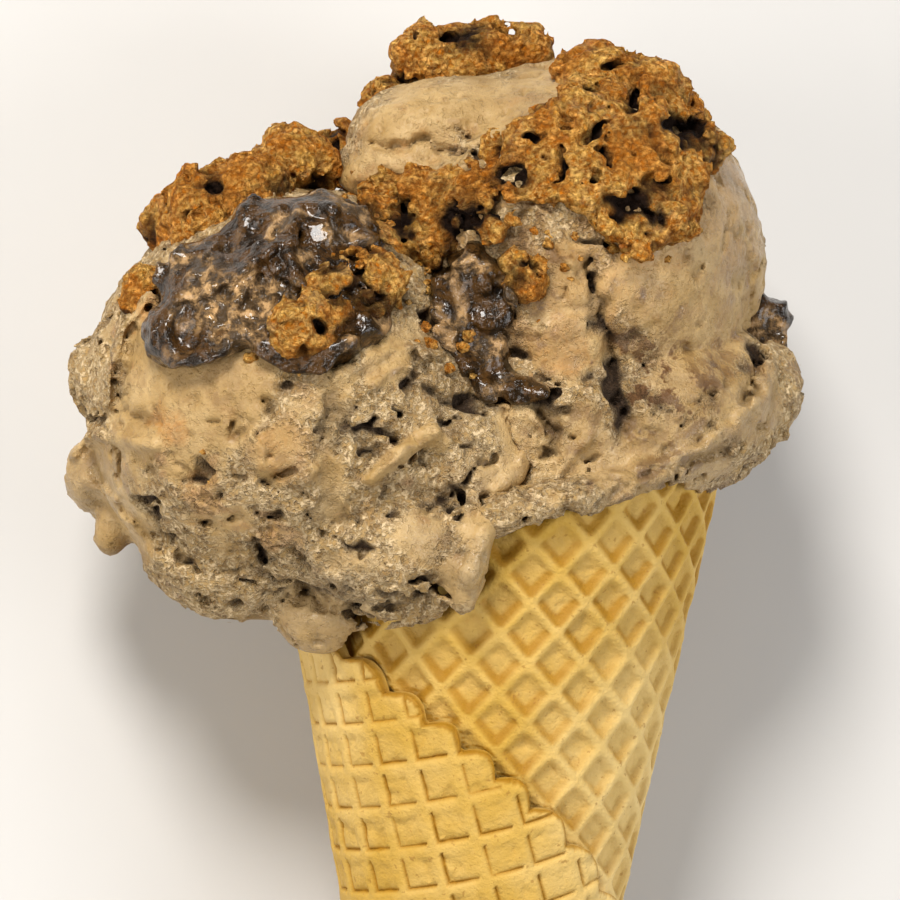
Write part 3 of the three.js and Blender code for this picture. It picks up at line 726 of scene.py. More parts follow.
class Value:
    """A shader's socket: sums with it add Math nodes."""

    def __init__(self, shader, socket):
        self.shader = shader
        self.socket = socket

    def __add__(self, other):
        return self.shader.math("ADD", self, other)

    __radd__ = __add__

    def __sub__(self, other):
        return self.shader.math("SUBTRACT", self, other)

    def __rsub__(self, other):
        return self.shader.math("SUBTRACT", other, self)

    def __mul__(self, other):
        return self.shader.math("MULTIPLY", self, other)

    __rmul__ = __mul__

    def within(self, low, high):
        """0 below low, 1 above high, and smooth between."""
        return self.shader.node(
            "ShaderNodeMapRange", {"interpolation_type": "SMOOTHSTEP"},
            {"Value": self, "From Min": low, "From Max": high},
        )


class Shader:
    """A material whose Principled BSDF is fed by small sums."""

    def __init__(self, name):
        self.material = bpy.data.materials.new(name)
        self.material.use_nodes = True
        self.tree = self.material.node_tree
        self.principled = self.tree.nodes["Principled BSDF"]

    def feed(self, socket, value):
        if isinstance(value, Value):
            self.tree.links.new(value.socket, socket)
        elif isinstance(value, tuple) and socket.type == "RGBA":
            socket.default_value = (*value, 1.0)
        else:
            socket.default_value = value

    def node(self, kind, settings, inputs, output=0):
        made = self.tree.nodes.new(kind)
        for label, value in settings.items():
            setattr(made, label, value)
        for label, value in inputs.items():
            self.feed(made.inputs[label], value)
        return Value(self, made.outputs[output])

    def math(self, operation, first, second):
        return self.node("ShaderNodeMath", {"operation": operation}, {0: first, 1: second})

    def mix(self, share, first, second):
        return self.node("ShaderNodeMix", {"data_type": "RGBA"}, {0: share, 6: first, 7: second}, 2)

    def attribute(self, name):
        return self.node("ShaderNodeAttribute", {"attribute_name": name}, {}, "Fac")

    def place(self):
        return self.node("ShaderNodeTexCoord", {}, {}, "Object")

    def noise(self, size, detail=3.0, rough=0.6):
        """Soft noise from 0 to 1 with swells of that size in metres."""
        inputs = {"Vector": self.place(), "Scale": 1 / size, "Detail": detail, "Roughness": rough}
        return self.node("ShaderNodeTexNoise", {}, inputs, "Fac")

    def bubbles(self, size):
        inputs = {"Vector": self.place(), "Scale": 1 / size}
        return self.node("ShaderNodeTexVoronoi", {}, inputs, "Distance")

    def bump(self, height, depth):
        inputs = {"Height": height, "Distance": depth, "Strength": 1.0}
        return self.node("ShaderNodeBump", {}, inputs, "Normal")

    def set(self, **inputs):
        for label, value in inputs.items():
            self.feed(self.principled.inputs[label.replace("_", " ")], value)
        return self.material


def cream_material(props):
    shader = Shader("cream")
    rough = shader.attribute("rough")
    stain = shader.attribute("stain")
    orange = shader.attribute("orange")
    melt = shader.attribute("melt")
    low = shader.attribute("low")
    mottle = shader.noise(0.006, 5.0).within(0.35, 0.68)
    open_places = shader.noise(0.0013, 3.0, 0.7).within(0.37, 0.46)
    grit = shader.noise(0.0007, 3.0, 0.7).within(0.38, 0.62)
    pits = (0.25 + 0.75 * rough) * (1 - open_places)
    veins = shader.noise(0.004, 6.0, 0.7).within(0.47, 0.40)
    spots = shader.noise(0.0026, 3.0, 0.6).within(0.48, 0.58)
    colour = shader.mix(mottle * 0.6, tuple(props.cream_colour), tuple(props.cream_light))
    colour = shader.mix(rough * grit * 0.55, colour, linear(230, 206, 166))
    # Partly the rough cream's own darker tone, partly painted shade in the low spots between the grains
    colour = shader.mix(rough * (1 - grit) * 0.3, colour, linear(152, 118, 64))
    colour = shader.mix(veins * 0.3, colour, linear(120, 84, 40))
    colour = shader.mix(orange * (0.5 + 0.5 * grit), colour, linear(176, 116, 44))
    colour = shader.mix(stain * (0.3 + 0.9 * spots), colour, linear(98, 66, 32))
    colour = shader.mix(melt * 0.35, colour, linear(160, 140, 110))
    # Painted shade in the small pits that the bump sinks
    colour = shader.mix(pits * 0.5, colour, linear(112, 80, 34))
    # Painted shade: darker where the surface lies below the scoop's smooth body, in pits and grooves
    colour = shader.mix(low * (0.3 + 0.7 * rough), colour, tuple(props.cream_pit_shade))
    height = grit * (0.15 + 0.55 * rough) - pits
    return shader.set(
        Base_Color=colour,
        Roughness=0.45 - 0.25 * melt + 0.25 * rough,
        Specular_IOR_Level=0.35,
        Subsurface_Weight=0.05,
        Subsurface_Radius=(0.003, 0.002, 0.001),
        Subsurface_Scale=0.3,
        Normal=shader.bump(height, 0.0004),
    )


def fudge_material(props):
    shader = Shader("fudge")
    foam = shader.attribute("foam")
    mottle = shader.noise(0.0022, 5.0, 0.7).within(0.42, 0.6)
    colour = shader.mix(mottle * 0.6, tuple(props.fudge_colour), linear(92, 62, 28))
    colour = shader.mix(foam * (0.1 + 0.9 * mottle), colour, linear(186, 148, 100))
    height = shader.noise(0.0016, 3.0) + mottle * foam * 0.5
    return shader.set(
        Base_Color=colour,
        Roughness=0.14 + 0.25 * foam,
        Specular_IOR_Level=0.3,
        Coat_Weight=0.35,
        Coat_Roughness=0.03,
        Normal=shader.bump(height, 0.0009),
    )


def cake_material(props):
    shader = Shader("cake")
    low = shader.attribute("low")
    syrup = shader.attribute("syrup")
    patchy = shader.noise(0.007, 3.0).within(0.36, 0.6)
    mottle = shader.noise(0.002, 5.0, 0.7).within(0.42, 0.6)
    grit = shader.noise(0.0008, 4.0, 0.75).within(0.4, 0.58)
    smear = shader.noise(0.006, 5.0, 0.65).within(0.56, 0.62)
    crumbs = shader.bubbles(0.0009).within(0.1, 0.9)
    colour = shader.mix(mottle * (0.4 + 0.6 * patchy), tuple(props.cake_colour), tuple(props.cake_light))
    colour = shader.mix((1 - patchy) * 0.35, colour, linear(190, 102, 12))
    # Painted highlight on the raised grain tops
    colour = shader.mix(grit * (0.2 + 0.4 * patchy), colour, linear(255, 208, 122))
    # Painted shade in the low gaps between the grains and round the crumbs
    colour = shader.mix((1 - grit) * 0.3 + crumbs * crumbs * 0.45, colour, linear(104, 52, 6))
    colour = shader.mix(smear * patchy * 0.4, colour, linear(186, 150, 104))
    # Painted shade deep in the pores and hollows, below the topping's smooth shape
    colour = shader.mix(low, colour, tuple(props.cake_pore_shade))
    colour = shader.mix(syrup, colour, linear(56, 34, 14))
    return shader.set(
        Base_Color=colour,
        Roughness=0.7 - 0.35 * syrup - 0.2 * smear,
        Specular_IOR_Level=0.15,
        Normal=shader.bump(grit * 0.5 - crumbs * 1.2 + mottle * 0.6, 0.0008),
    )


def wafer_material(props):
    shader = Shader("wafer")
    browning_and_shade = shader.attribute("browning_and_shade")
    floor = shader.attribute("floor")
    pale_and_painted_light = shader.attribute("pale_and_painted_light")
    patchy = shader.noise(0.012, 4.0).within(0.35, 0.68)
    speck = shader.noise(0.0011, 2.0).within(0.64, 0.72)
    fine = shader.noise(0.0024, 4.0, 0.65).within(0.38, 0.66)
    # Lighter in random patches, and where the pale share is high: painted light low on the right, a paler
    # tone along the left side
    colour = shader.mix(patchy * 0.35 + pale_and_painted_light * 0.65, tuple(props.wafer_colour), tuple(props.wafer_pale_and_painted_light))
    colour = shader.mix(floor * (0.35 + 0.5 * fine) * (1 - 0.6 * pale_and_painted_light), colour, linear(184, 148, 76))
    browned_and_shaded = browning_and_shade * (0.85 + 0.15 * fine) * (1 - 0.35 * pale_and_painted_light)
    # Browned walls and edges, with painted shade in the flap's creases and a painted shadow along the seam
    colour = shader.mix(browned_and_shaded.within(0.05, 0.8) * 0.85, colour, tuple(props.wafer_brown_and_shade))
    colour = shader.mix(speck * 0.5, colour, linear(140, 96, 34))
    height = shader.noise(0.0006, 3.0) + shader.noise(0.002, 2.0) * 0.8
    return shader.set(
        Base_Color=colour,
        Roughness=0.6,
        Specular_IOR_Level=0.2,
        Subsurface_Weight=0.04,
        Subsurface_Radius=(0.003, 0.0022, 0.001),
        Subsurface_Scale=0.3,
        Normal=shader.bump(height, 0.00022),
    )


def floor_material():
    shader = Shader("floor")
    grain = shader.noise(0.02, 3.0)
    colour = shader.mix(grain * 0.3, linear(204, 202, 199), linear(196, 194, 191))
    return shader.set(Base_Color=colour, Roughness=0.7)


# The wafer


def outline_radius(angle):
    radius = smooth_radius(angle)
    along = (LOBES_FROM - angle) * SHEET_RADIUS / LOBE_LENGTH + 0.35 * np.sin(angle * 9)
    lobes = LOBE_DEPTH * (np.abs(np.sin(math.pi * along)) - 0.6)
    return radius + np.where((angle < LOBES_FROM) & (angle > LOBES_TO), lobes, 0)


def twist_at(x, y):
    return FLAP_TWIST * smooth_step(TWIST_FROM, FLAP_FULL, np.arctan2(x, y))


def turned(x, y, angle):
    dx = x - FLAP_PIVOT[0]
    dy = y - FLAP_PIVOT[1]
    return (
        FLAP_PIVOT[0] + dx * np.cos(angle) - dy * np.sin(angle),
        FLAP_PIVOT[1] + dx * np.sin(angle) + dy * np.cos(angle),
    )


def cell_place(x, y):
    """Places on the sheet as counts of cells along both ways of the lattice."""
    x, y = turned(x, y, -twist_at(x, y))
    dx = (x - CELL_ORIGIN[0]) / CELL_PITCH
    dy = (y - CELL_ORIGIN[1]) / CELL_PITCH
    cosine, sine = math.cos(CELL_TURN), math.sin(CELL_TURN)
    return dx * cosine + dy * sine, -dx * sine + dy * cosine


def sheet_place(a, b):
    """The other way round: counts of cells as places on the sheet."""
    flat_x = CELL_ORIGIN[0] + CELL_PITCH * (a * math.cos(CELL_TURN) - b * math.sin(CELL_TURN))
    flat_y = CELL_ORIGIN[1] + CELL_PITCH * (a * math.sin(CELL_TURN) + b * math.cos(CELL_TURN))
    x, y = flat_x, flat_y
    for _ in range(8):
        x, y = turned(flat_x, flat_y, twist_at(x, y))
    return x, y


def relief(x, y, rib_height):
    """Height of the waffle's face, its share of browned wall and painted shade, and its share of cell floor.
    """
    a, b = cell_place(x, y)
    flap = smooth_step(FLAP_FROM, FLAP_FULL, np.arctan2(x, y))
    part_a = a - np.floor(a)
    part_b = b - np.floor(b)
    low_a = part_a * CELL_PITCH
    low_b = part_b * CELL_PITCH
    high_a = (1 - part_a) * CELL_PITCH
    high_b = (1 - part_b) * CELL_PITCH
    near_a = np.minimum(low_a, high_a)
    near_b = np.minimum(low_b, high_b)
    flat = np.stack([x, y, 0 * x], 1).astype(np.float32)
    rib = RIB_HALF + 0.1 * noise(flat, 9, 31)
    pocket = smooth_step(rib, rib + RIB_SLOPE, near_a) * smooth_step(rib, rib + RIB_SLOPE, near_b)
    depth = rib_height * (1 + 0.12 * noise(flat, 14, 32)) * pocket
    shallow = smooth_step(0.8, 1.5, near_a) * smooth_step(0.8, 1.5, near_b)
    crease_a = np.exp(-(((low_a - CREASE_AT) / CREASE_HALF) ** 2)) * smooth_step(0.5, 1.0, near_b)
    crease_b = np.exp(-(((low_b - CREASE_AT) / CREASE_HALF) ** 2)) * smooth_step(0.5, 1.0, near_a)
    worn = smooth_step(-0.5, 0.3, noise(flat, 6, 33))
    crease = np.maximum(crease_a, crease_b) * (0.7 + 0.3 * worn)
    flap_depth = rib_height * (0.22 * shallow + 0.7 * crease)
    height = -(depth * (1 - flap) + flap_depth * flap)
    pitted = noise(flat, 1.3, 34) * 0.05 - 0.3 * smooth_step(0.55, 0.9, noise(flat, 1.6, 35)) * pocket
    height = height + pitted + 0.06 * noise(flat, 4, 36)
    low_walls = np.maximum(
        np.exp(-(((low_b - WALL_AT) / WALL_HALF) ** 4)) * smooth_step(0.3, 1.0, near_a),
        np.exp(-(((high_a - WALL_AT) / WALL_HALF) ** 4)) * smooth_step(0.3, 1.0, near_b),
    )
    low_corner = 0.7 + 0.3 * (1 - smooth_step(1.5, 5.0, low_b + high_a))
    # The lower cell walls are browned; the flap's creases get painted shade
    browning_and_shade = low_walls * low_corner * (0.9 + 0.3 * noise(flat, 11, 37)) * (1 - flap) + crease * 0.9 * flap
    # Browned along the sheet's own edge, and a painted shadow on the turn beneath, just past the edge of the
    # turn that lies over it
    browning_and_shade = np.maximum(browning_and_shade, 0.9 * (1 - smooth_step(0.1, 0.7, from_edge_and_shadow_line(x, y))))
    return height, np.clip(browning_and_shade, 0, 1), pocket * (1 - 0.7 * flap)


def from_edge_and_shadow_line(x, y):
    """How far it is to the sheet's edge, or past the edge of the turn that lies over this place, where a
    painted shadow of that edge falls.
    """
    own_angle = np.arctan2(y - SHEET_CENTRE[1], x - SHEET_CENTRE[0])
    own = outline_radius(own_angle) - np.hypot(x - SHEET_CENTRE[0], y - SHEET_CENTRE[1])
    rho = np.hypot(x, y)
    psi = np.arctan2(x, y) + 2 * math.pi * SIN_A
    over_x = rho * np.sin(psi) - SHEET_CENTRE[0]
    over_y = rho * np.cos(psi) - SHEET_CENTRE[1]
    over = np.hypot(over_x, over_y) - outline_radius(np.arctan2(over_y, over_x))
    return np.where(over > 0, np.minimum(own, over), own)


def is_covered(x, y):
    """True where the sheet's next turn lies over this place."""
    rho = np.hypot(x, y)
    psi = np.arctan2(x, y) + 2 * math.pi * SIN_A
    away = np.hypot(rho * np.sin(psi) - SHEET_CENTRE[0], rho * np.cos(psi) - SHEET_CENTRE[1])
    return away < SHEET_RADIUS - 2 * CELL_PITCH


def lattice_places(first, steps):
    """The lattice's points with so many steps to a cell, as places on the sheet."""
    counts = np.arange(CELLS_ACROSS * steps + 1) / steps
    a, b = np.meshgrid(first[0] + counts, first[1] + counts)
    return sheet_place(a.ravel(), b.ravel())


def face_of_cell(corner, size, covered):
    """The slab's upper faces in one cell: fine ones where it shows, or one where it is covered."""
    n = CELL_STEPS
    if covered:
        ring = [corner + k for k in range(n)]
        ring += [corner + n + k * size for k in range(n)]
        ring += [corner + n * size + n - k for k in range(n)]
        ring += [corner + (n - k) * size for k in range(n)]
        return [ring]
    starts = [corner + row * size + k for row in range(n) for k in range(n)]
    return [[start, start + 1, start + 1 + size, start + size] for start in starts]


def slab_sides(size, base, low_size):
    """The slab's four narrow sides, between its upper points and its lower ones, which start at base."""
    last = size - 1
    low_last = low_size - 1
    forth = range(size)
    back = range(last, -1, -1)
    low_forth = range(low_size)
    low_back = range(low_last, -1, -1)
    return [
        [base + i for i in low_forth] + list(back),
        [last * size + i for i in forth] + [base + low_last * low_size + i for i in low_back],
        [j * size for j in forth] + [base + j * low_size for j in low_back],
        [base + low_last + j * low_size for j in low_forth] + [last + j * size for j in back],
    ]


def waffle_slab(rib_height):
    """The flat slab before it is trimmed."""
    middle = cell_place(*(np.array([c]) for c in SHEET_CENTRE))
    first = [int(round(float(m[0]))) - CELLS_ACROSS // 2 for m in middle]
    size = CELLS_ACROSS * CELL_STEPS + 1
    x, y = lattice_places(first, CELL_STEPS)
    top = np.stack([x, y, relief(x, y, rib_height)[0]], 1)
    low_size = CELLS_ACROSS * BACK_STEPS + 1
    low_x, low_y = lattice_places(first, BACK_STEPS)
    low = np.stack([low_x, low_y, np.full(low_x.shape, -WAFER_THICKNESS)], 1)
    halfway = 0.5 + np.arange(CELLS_ACROSS)
    middle_a, middle_b = np.meshgrid(first[0] + halfway, first[1] + halfway)
    covered = is_covered(*sheet_place(middle_a.ravel(), middle_b.ravel()))
    faces = []
    for k, under in enumerate(covered):
        row, column = divmod(k, CELLS_ACROSS)
        faces += face_of_cell((row * size + column) * CELL_STEPS, size, under)
    base = len(top)
    for j in range(low_size - 1):
        for i in range(low_size - 1):
            start = base + j * low_size + i
            faces.append([start, start + low_size, start + low_size + 1, start + 1])
    faces += slab_sides(size, base, low_size)
    return bare_object("slab", np.concatenate([top, low]), faces)


def bare_object(name, points, faces):
    mesh = bpy.data.meshes.new(name)
    mesh.from_pydata([tuple(p) for p in points], [], faces)
    made = bpy.data.objects.new(name, mesh)
    bpy.context.scene.collection.objects.link(made)
    return made


def prism(name, outline):
    """An upright prism through the slab."""
    count = len(outline)
    points = [(x, y, -9.0) for x, y in outline] + [(x, y, 9.0) for x, y in outline]
    faces = [list(range(count - 1, -1, -1)), list(range(count, 2 * count))]
    faces += [[k, (k + 1) % count, (k + 1) % count + count, k + count] for k in range(count)]
    return bare_object(name, points, faces)


def outline_prism():
    """The sheet's round outline, with short steps along its lobes."""
    angle = math.radians(200)
    outline = []
    while angle > math.radians(-160):
        radius = float(outline_radius(np.array([angle]))[0])
        x = SHEET_CENTRE[0] + radius * math.cos(angle)
        y = SHEET_CENTRE[1] + radius * math.sin(angle)
        outline.append((x, y))
        angle -= 0.006 if LOBES_TO < angle < LOBES_FROM + 0.05 else 0.02
    return prism("outline", outline[::-1])


def sector_prism():
    """The part of the sheet between its two straight edges."""
    start = SHEET_START * SIN_A
    turns = [start + (SHEET_END - start) * k / 60 for k in range(61)]
    inner = [(ROLL_FROM * math.sin(psi), ROLL_FROM * math.cos(psi)) for psi in turns]
    outer = [(PAST_SHEET * math.sin(psi), PAST_SHEET * math.cos(psi)) for psi in reversed(turns)]
    return prism("sector", inner + outer)


def trimmed(slab, cutters):
    """The slab's mesh inside all the cutters, as arrays."""
    for cutter in cutters:
        modifier = slab.modifiers.new(cutter.name, "BOOLEAN")
        modifier.operation = "INTERSECT"
        modifier.solver = "MANIFOLD"
        modifier.object = cutter
    view = bpy.context.evaluated_depsgraph_get()
    mesh = bpy.data.meshes.new_from_object(slab.evaluated_get(view))
    mesh.calc_loop_triangles()
    points = np.zeros(len(mesh.vertices) * 3, np.float32)
    mesh.vertices.foreach_get("co", points)
    triangles = np.zeros(len(mesh.loop_triangles) * 3, np.int32)
    mesh.loop_triangles.foreach_get("vertices", triangles)
    for thing in (slab, *cutters):
        bpy.data.objects.remove(thing)
    bpy.data.meshes.remove(mesh)
    if not len(triangles):
        raise RuntimeError("the waffle slab came out empty")
    return points.reshape(-1, 3).astype(np.float64), triangles.reshape(-1, 3)


def on_cone(rho, theta, lift):
    radius = rho * SIN_A + lift * COS_A
    return np.stack([radius * np.sin(theta), rho * COS_A - lift * SIN_A, radius * np.cos(theta)], 1)


def pale_and_painted_light_share(points):
    """The wafer is lighter low on the right, where light is painted on, and paler along its left side."""
    places = seen(points)
    pale_and_painted_light = np.zeros(len(points))
    for x, y, wide, high, strength in PALE_AND_PAINTED_LIGHT_PLACES:
        out = np.hypot((places[:, 0] - x) / wide, (places[:, 1] - y) / high)
        pale_and_painted_light = np.maximum(pale_and_painted_light, strength * (1 - smooth_step(0.2, 1.2, out)))
    return pale_and_painted_light


def build_roll(material, rib_height):
    """The rolled sheet."""
    points, faces = trimmed(waffle_slab(rib_height), [outline_prism(), sector_prism()])
    x, y, height = points.T
    browning_and_shade, floor = relief(x, y, rib_height)[1:]
    dx, dy = x - SHEET_CENTRE[0], y - SHEET_CENTRE[1]
    inside = outline_radius(np.arctan2(dy, dx)) - np.hypot(dx, dy)
    is_face = height > -WAFER_THICKNESS + 0.2
    worn_edge = np.exp(-np.abs(inside) / 0.45)
    height = np.where(is_face, height - 0.45 * worn_edge, height)
    browning_and_shade = np.where(is_face, np.clip(browning_and_shade + 0.35 * worn_edge, 0, 1), 0.3)
    theta = np.arctan2(x, y) / SIN_A
    rolled = on_cone(np.hypot(x, y), theta, height + layer_lift(theta))
    attributes = {"browning_and_shade": browning_and_shade, "floor": floor * is_face, "pale_and_painted_light": pale_and_painted_light_share(rolled)}
    piece = mesh_object("wafer_roll", rolled, [faces], attributes, material)
    piece.data.set_sharp_from_angle(angle=math.radians(50))
    return piece


def ring_faces(start, after, count):
    """Triangles between two rings of points."""
    triangles = []
    for k in range(count):
        following = (k + 1) % count
        triangles.append([start + k, start + following, after + following])
        triangles.append([start + k, after + following, after + k])
    return triangles


def build_tip(material, rib_height):
    """The closed tip, which carries the waffle pattern on."""
    around = TIP_POINTS_ROUND
    theta = TIP_SEAM + 2 * math.pi * np.arange(around) / around
    rings = []
    for rho in np.arange(TIP_END, ROLL_FROM + TIP_OVERLAP, TIP_RING_STEP):
        fade = float(smooth_step(TIP_END + 3, ROLL_FROM, np.array(rho)))
        psi = theta * SIN_A
        height = relief(rho * np.sin(psi), rho * np.cos(psi), rib_height)[0]
        lift = TIP_LIFT * (1 - fade) + layer_lift(theta) * fade + height * (0.4 + 0.6 * fade) - 0.1
        rings.append(on_cone(rho, theta, lift))
    narrow = rings[0]
    middle = TIP_END * COS_A
    for share, back in TIP_CLOSING:
        rings.insert(0, narrow * [share, 0, share] + [0, middle + back, 0])
    ends = [[0, middle + TIP_POINT, 0], [0, rings[-1][:, 1].mean(), 0]]
    points = np.concatenate([*rings, ends])
    bottom = len(points) - 2
    top = len(points) - 1
    last = (len(rings) - 1) * around
    faces = []
    for ring in range(len(rings) - 1):
        faces += ring_faces(ring * around, (ring + 1) * around, around)
    for k in range(around):
        following = (k + 1) % around
        faces.append([bottom, following, k])
        faces.append([last + k, last + following, top])
    even = np.full(len(points), 0.25)
    attributes = {"browning_and_shade": even, "floor": even, "pale_and_painted_light": even}
    return mesh_object("wafer_tip", points, [np.array(faces)], attributes, material)


# The ice cream


def wandering(points, size, amount, seed):
    """The same places pushed about, so that what is drawn there comes out ragged."""
    return points + amount * np.stack([noise(points, size, seed + k) for k in range(3)], 1)


def coarse_cream(points, smooth, scoop):
    """Billows, swells, tears and strokes."""
    seed = scoop["seed"]
    rough = 1 - smooth
    billows = np.abs(noise(wandering(points, 4, 1.2, seed + 30), 5.5, seed)) - 0.35
    swells = 0.25 * noise(points, 11, seed + 1)
    torn = noise(wandering(points, 2.5, 1.6, seed + 40), 7, seed + 2)
    tears = 1.5 * np.exp(-((torn / 0.09) ** 2)) * rough * smooth_step(0.1, 0.6, noise(points, 8, seed + 3))
    drawn = strokes_height(points, scoop["strokes"], scoop["holes"], scoop["middle_z"])
    return 0.6 * billows * (0.15 + 0.85 * rough) + swells - tears + drawn


def fine_cream(points, smooth, seed):
    """Curds and pits where it is rough, and fine sweeps where it is smooth."""
    rough = 1 - smooth
    ragged = wandering(points, 1.5, 0.7, seed + 50)
    curds = 0.4 * (np.abs(noise(ragged, 2.5, seed + 4)) - 0.3)
    small = 0.4 * (np.abs(noise(ragged, 1.25, seed + 5)) - 0.3)
    gaps = noise(ragged * np.array([0.5, 1.3, 1.0], np.float32), 1.8, seed + 7)
    gaps = gaps + 0.5 * noise(points, 5, seed + 10)
    pits = 2.0 * smooth_step(0.62, 1.05, gaps)
    few = 0.8 * smooth_step(0.75, 1.05, noise(ragged, 1.9, seed + 8))
    swept = 0.2 * noise(points * np.array([0.45, 1.3, 1.0], np.float32), 1.6, seed + 9)
    return rough * (curds + small - pits) + smooth * (swept - few)


def cream_marks(points, kinds):
    """How strong each kind of mark is at the points."""
    places = seen(points)
    ragged = 1 + 0.5 * noise(points, 2.4, 71) + 0.3 * noise(points, 1.1, 72)
    marks = []
    for discs in kinds:
        mark = np.zeros(len(points))
        for x, y, radius, strength in discs:
            away = np.hypot(places[:, 0] - x, places[:, 1] - y) / radius * ragged
            mark = np.maximum(mark, strength * (1 - smooth_step(0.5, 1.15, away)))
        marks.append(mark * smooth_step(-12, -2, points[:, 2]))
    return marks


SCOOPS = {
    "left": {
        "body": left_body, "grid": LEFT_GRID, "middle_z": LEFT_CENTRE[2], "smooth": LEFT_SMOOTH,
        "strokes": LEFT_STROKES, "holes": LEFT_HOLES, "marks": (LEFT_STAINS, LEFT_ORANGES, LEFT_MELTS),
        "seed": 101,
    },
    "right": {
        "body": right_body, "grid": RIGHT_GRID, "middle_z": RIGHT_CENTRE[2], "smooth": RIGHT_SMOOTH,
        "strokes": RIGHT_STROKES, "holes": RIGHT_HOLES, "marks": (RIGHT_STAINS, RIGHT_ORANGES, RIGHT_MELTS),
        "seed": 201,
    },
}


def smooth_share(points, scoop):
    return patches(points, scoop["smooth"], scoop["strokes"], scoop["middle_z"], scoop["seed"] + 20)


def left_with_gap(points):
    return left_body(points) - 0.2


def build_cream(side, others, step, material):
    """One scoop, cut back where it meets the others, the wafer and the surface that it lies on."""
    scoop = SCOOPS[side]
    clay = Clay(*scoop["grid"], step)
    clay.form(scoop["body"])
    where = clay.near(4.0)
    smooth = smooth_share(clay.points[where], scoop)
    clay.field[where] -= coarse_cream(clay.points[where], smooth, scoop)
    close = np.abs(clay.field[where]) < 1.8
    where = where[close]
    clay.field[where] -= fine_cream(clay.points[where], smooth[close], scoop["seed"])
    clay.cut(wall_field, floor_field, *others)
    points, faces = clay.mesh(CREAM_MERGING)
    stain, orange, melt = cream_marks(points, scoop["marks"])
    attributes = {
        "rough": 1 - smooth_share(points, scoop), "stain": stain, "orange": orange, "melt": melt,
        # low: how deep the surface lies below the scoop's smooth body, which the material paints dark as
        # shade in pits and grooves
        "low": smooth_step(-0.1, 1.5, -scoop["body"](points.astype(np.float32))),
    }
    piece = mesh_object("cream_" + side, points, faces, attributes, material)
    return mounted(piece, ["scoop_" + side])


# Toppings


def front_of(x, y):
    """Height of the ice cream's front at a place, or the middle of the nearer scoop beside it."""
    front, nearest, beside = -1e9, 1e9, 0
    for centre, size in ((LEFT_CENTRE, LEFT_SIZE), (RIGHT_CENTRE, RIGHT_SIZE)):
        out = math.hypot((x - centre[0]) / size[0], (y - centre[1]) / size[1])
        if out < 1:
            front = max(front, centre[2] + size[2] * math.sqrt(1 - out * out))
        if out < nearest:
            nearest, beside = out, centre[2]
    return front if front > -1e9 else beside


def lumps_of(topping, flatness):
    return [(x, y, front_of(x, y) + off, half, half, half * flatness) for x, y, half, off in topping]


def lumps_field(points, lumps, width, grow=0.0):
    field = np.full(len(points), 50, np.float32)
    for lump in lumps:
        field = soft_union(field, ellipsoid_field(points, lump, grow), width)
    return field


def box_of(lumps, margin):
    low = [min(lump[k] - lump[3 + k] for lump in lumps) - margin for k in range(3)]
    high = [max(lump[k] + lump[3 + k] for lump in lumps) + margin for k in range(3)]
    return low, high


def cream_field(points):
    return np.minimum(left_body(points), right_body(points))


def deep_in_cream(points):
    """Inside the ice cream further than a topping sinks."""
    return cream_field(points) + TOPPING_SINK


def layer_field(points, name):
    """A layer that follows the ice cream inside its outline, or nothing where there is no such layer."""
    if name not in LAYERS:
        return np.full(len(points), 50, np.float32)
    thickness, outline = LAYERS[name]
    field = np.full(len(points), 50, np.float32)
    places = seen(points)
    around = close_to(places, outline, 6)
    around = around[points[around, 2] > 0]
    points = points[around]
    over = cream_field(points) - thickness
    ragged = 0.7 * noise(points, 2.2, 83) if name.startswith("cake") else 0.25 * noise(points, 3, 83)
    beside = from_outline(places[around], outline) + ragged
    field[around] = -soft_union(-over, -beside, 1.6)
    return field


def topping_field(points, name, lumps, width):
    return soft_union(lumps_field(points, lumps, width), layer_field(points, name), width)


def topping_clay(name, lumps, width, step):
    """The clay of a topping before its own unevenness, on a grid that holds its lumps and its layer."""
    low, high = box_of(lumps, 2.0)
    for x, y in LAYERS.get(name, (0, []))[1]:
        low = [min(low[0], x - 3), min(low[1], y - 3), low[2]]
        high = [max(high[0], x + 3), max(high[1], y + 3), high[2]]
    low[2] -= 6 if name in LAYERS else 0
    clay = Clay(low, high, step)
    clay.form(lambda points: topping_field(points, name, lumps, width))
    return clay


def hollows(points):
    """How deep the cake is torn open."""
    places = seen(points) + 1.5 * drift(points, 2.2, 95)
    depth = np.zeros(len(points))
    for x, y, wide, high in CAKE_HOLLOWS:
        out = ((places[:, 0] - x) / wide) ** 2 + ((places[:, 1] - y) / high) ** 2
        depth += HOLLOW_DEPTH * np.exp(-(out ** 1.5))
    return depth


def cake_crumb(points, seed):
    """Clumps of crumb, the crumbs on them, and pits."""
    ragged = wandering(points, 1.4, 0.6, seed + 30)
    clumps = 1.7 * (0.45 - grains(ragged, 3.6, seed + 4))
    nodules = 1.1 * (0.5 - grains(ragged, 1.25, seed + 1))
    pits = 1.8 * smooth_step(0.5, 0.95, noise(ragged, 1.9, seed + 3))
    return clumps + nodules - pits


def syrup_share(points, seed):
    """How far the cake is soaked by the sauce beside it."""
    nearest = np.minimum.reduce([
        np.minimum(lumps_field(points, lumps_of(sauce, SAUCE_FLATNESS), 1.5), layer_field(points, name))
        for name, sauce in FUDGES.items()
    ])
    return 0.85 * (1 - smooth_step(0.1, 1.8, nearest + 1.2 * noise(points, 2.0, seed)))


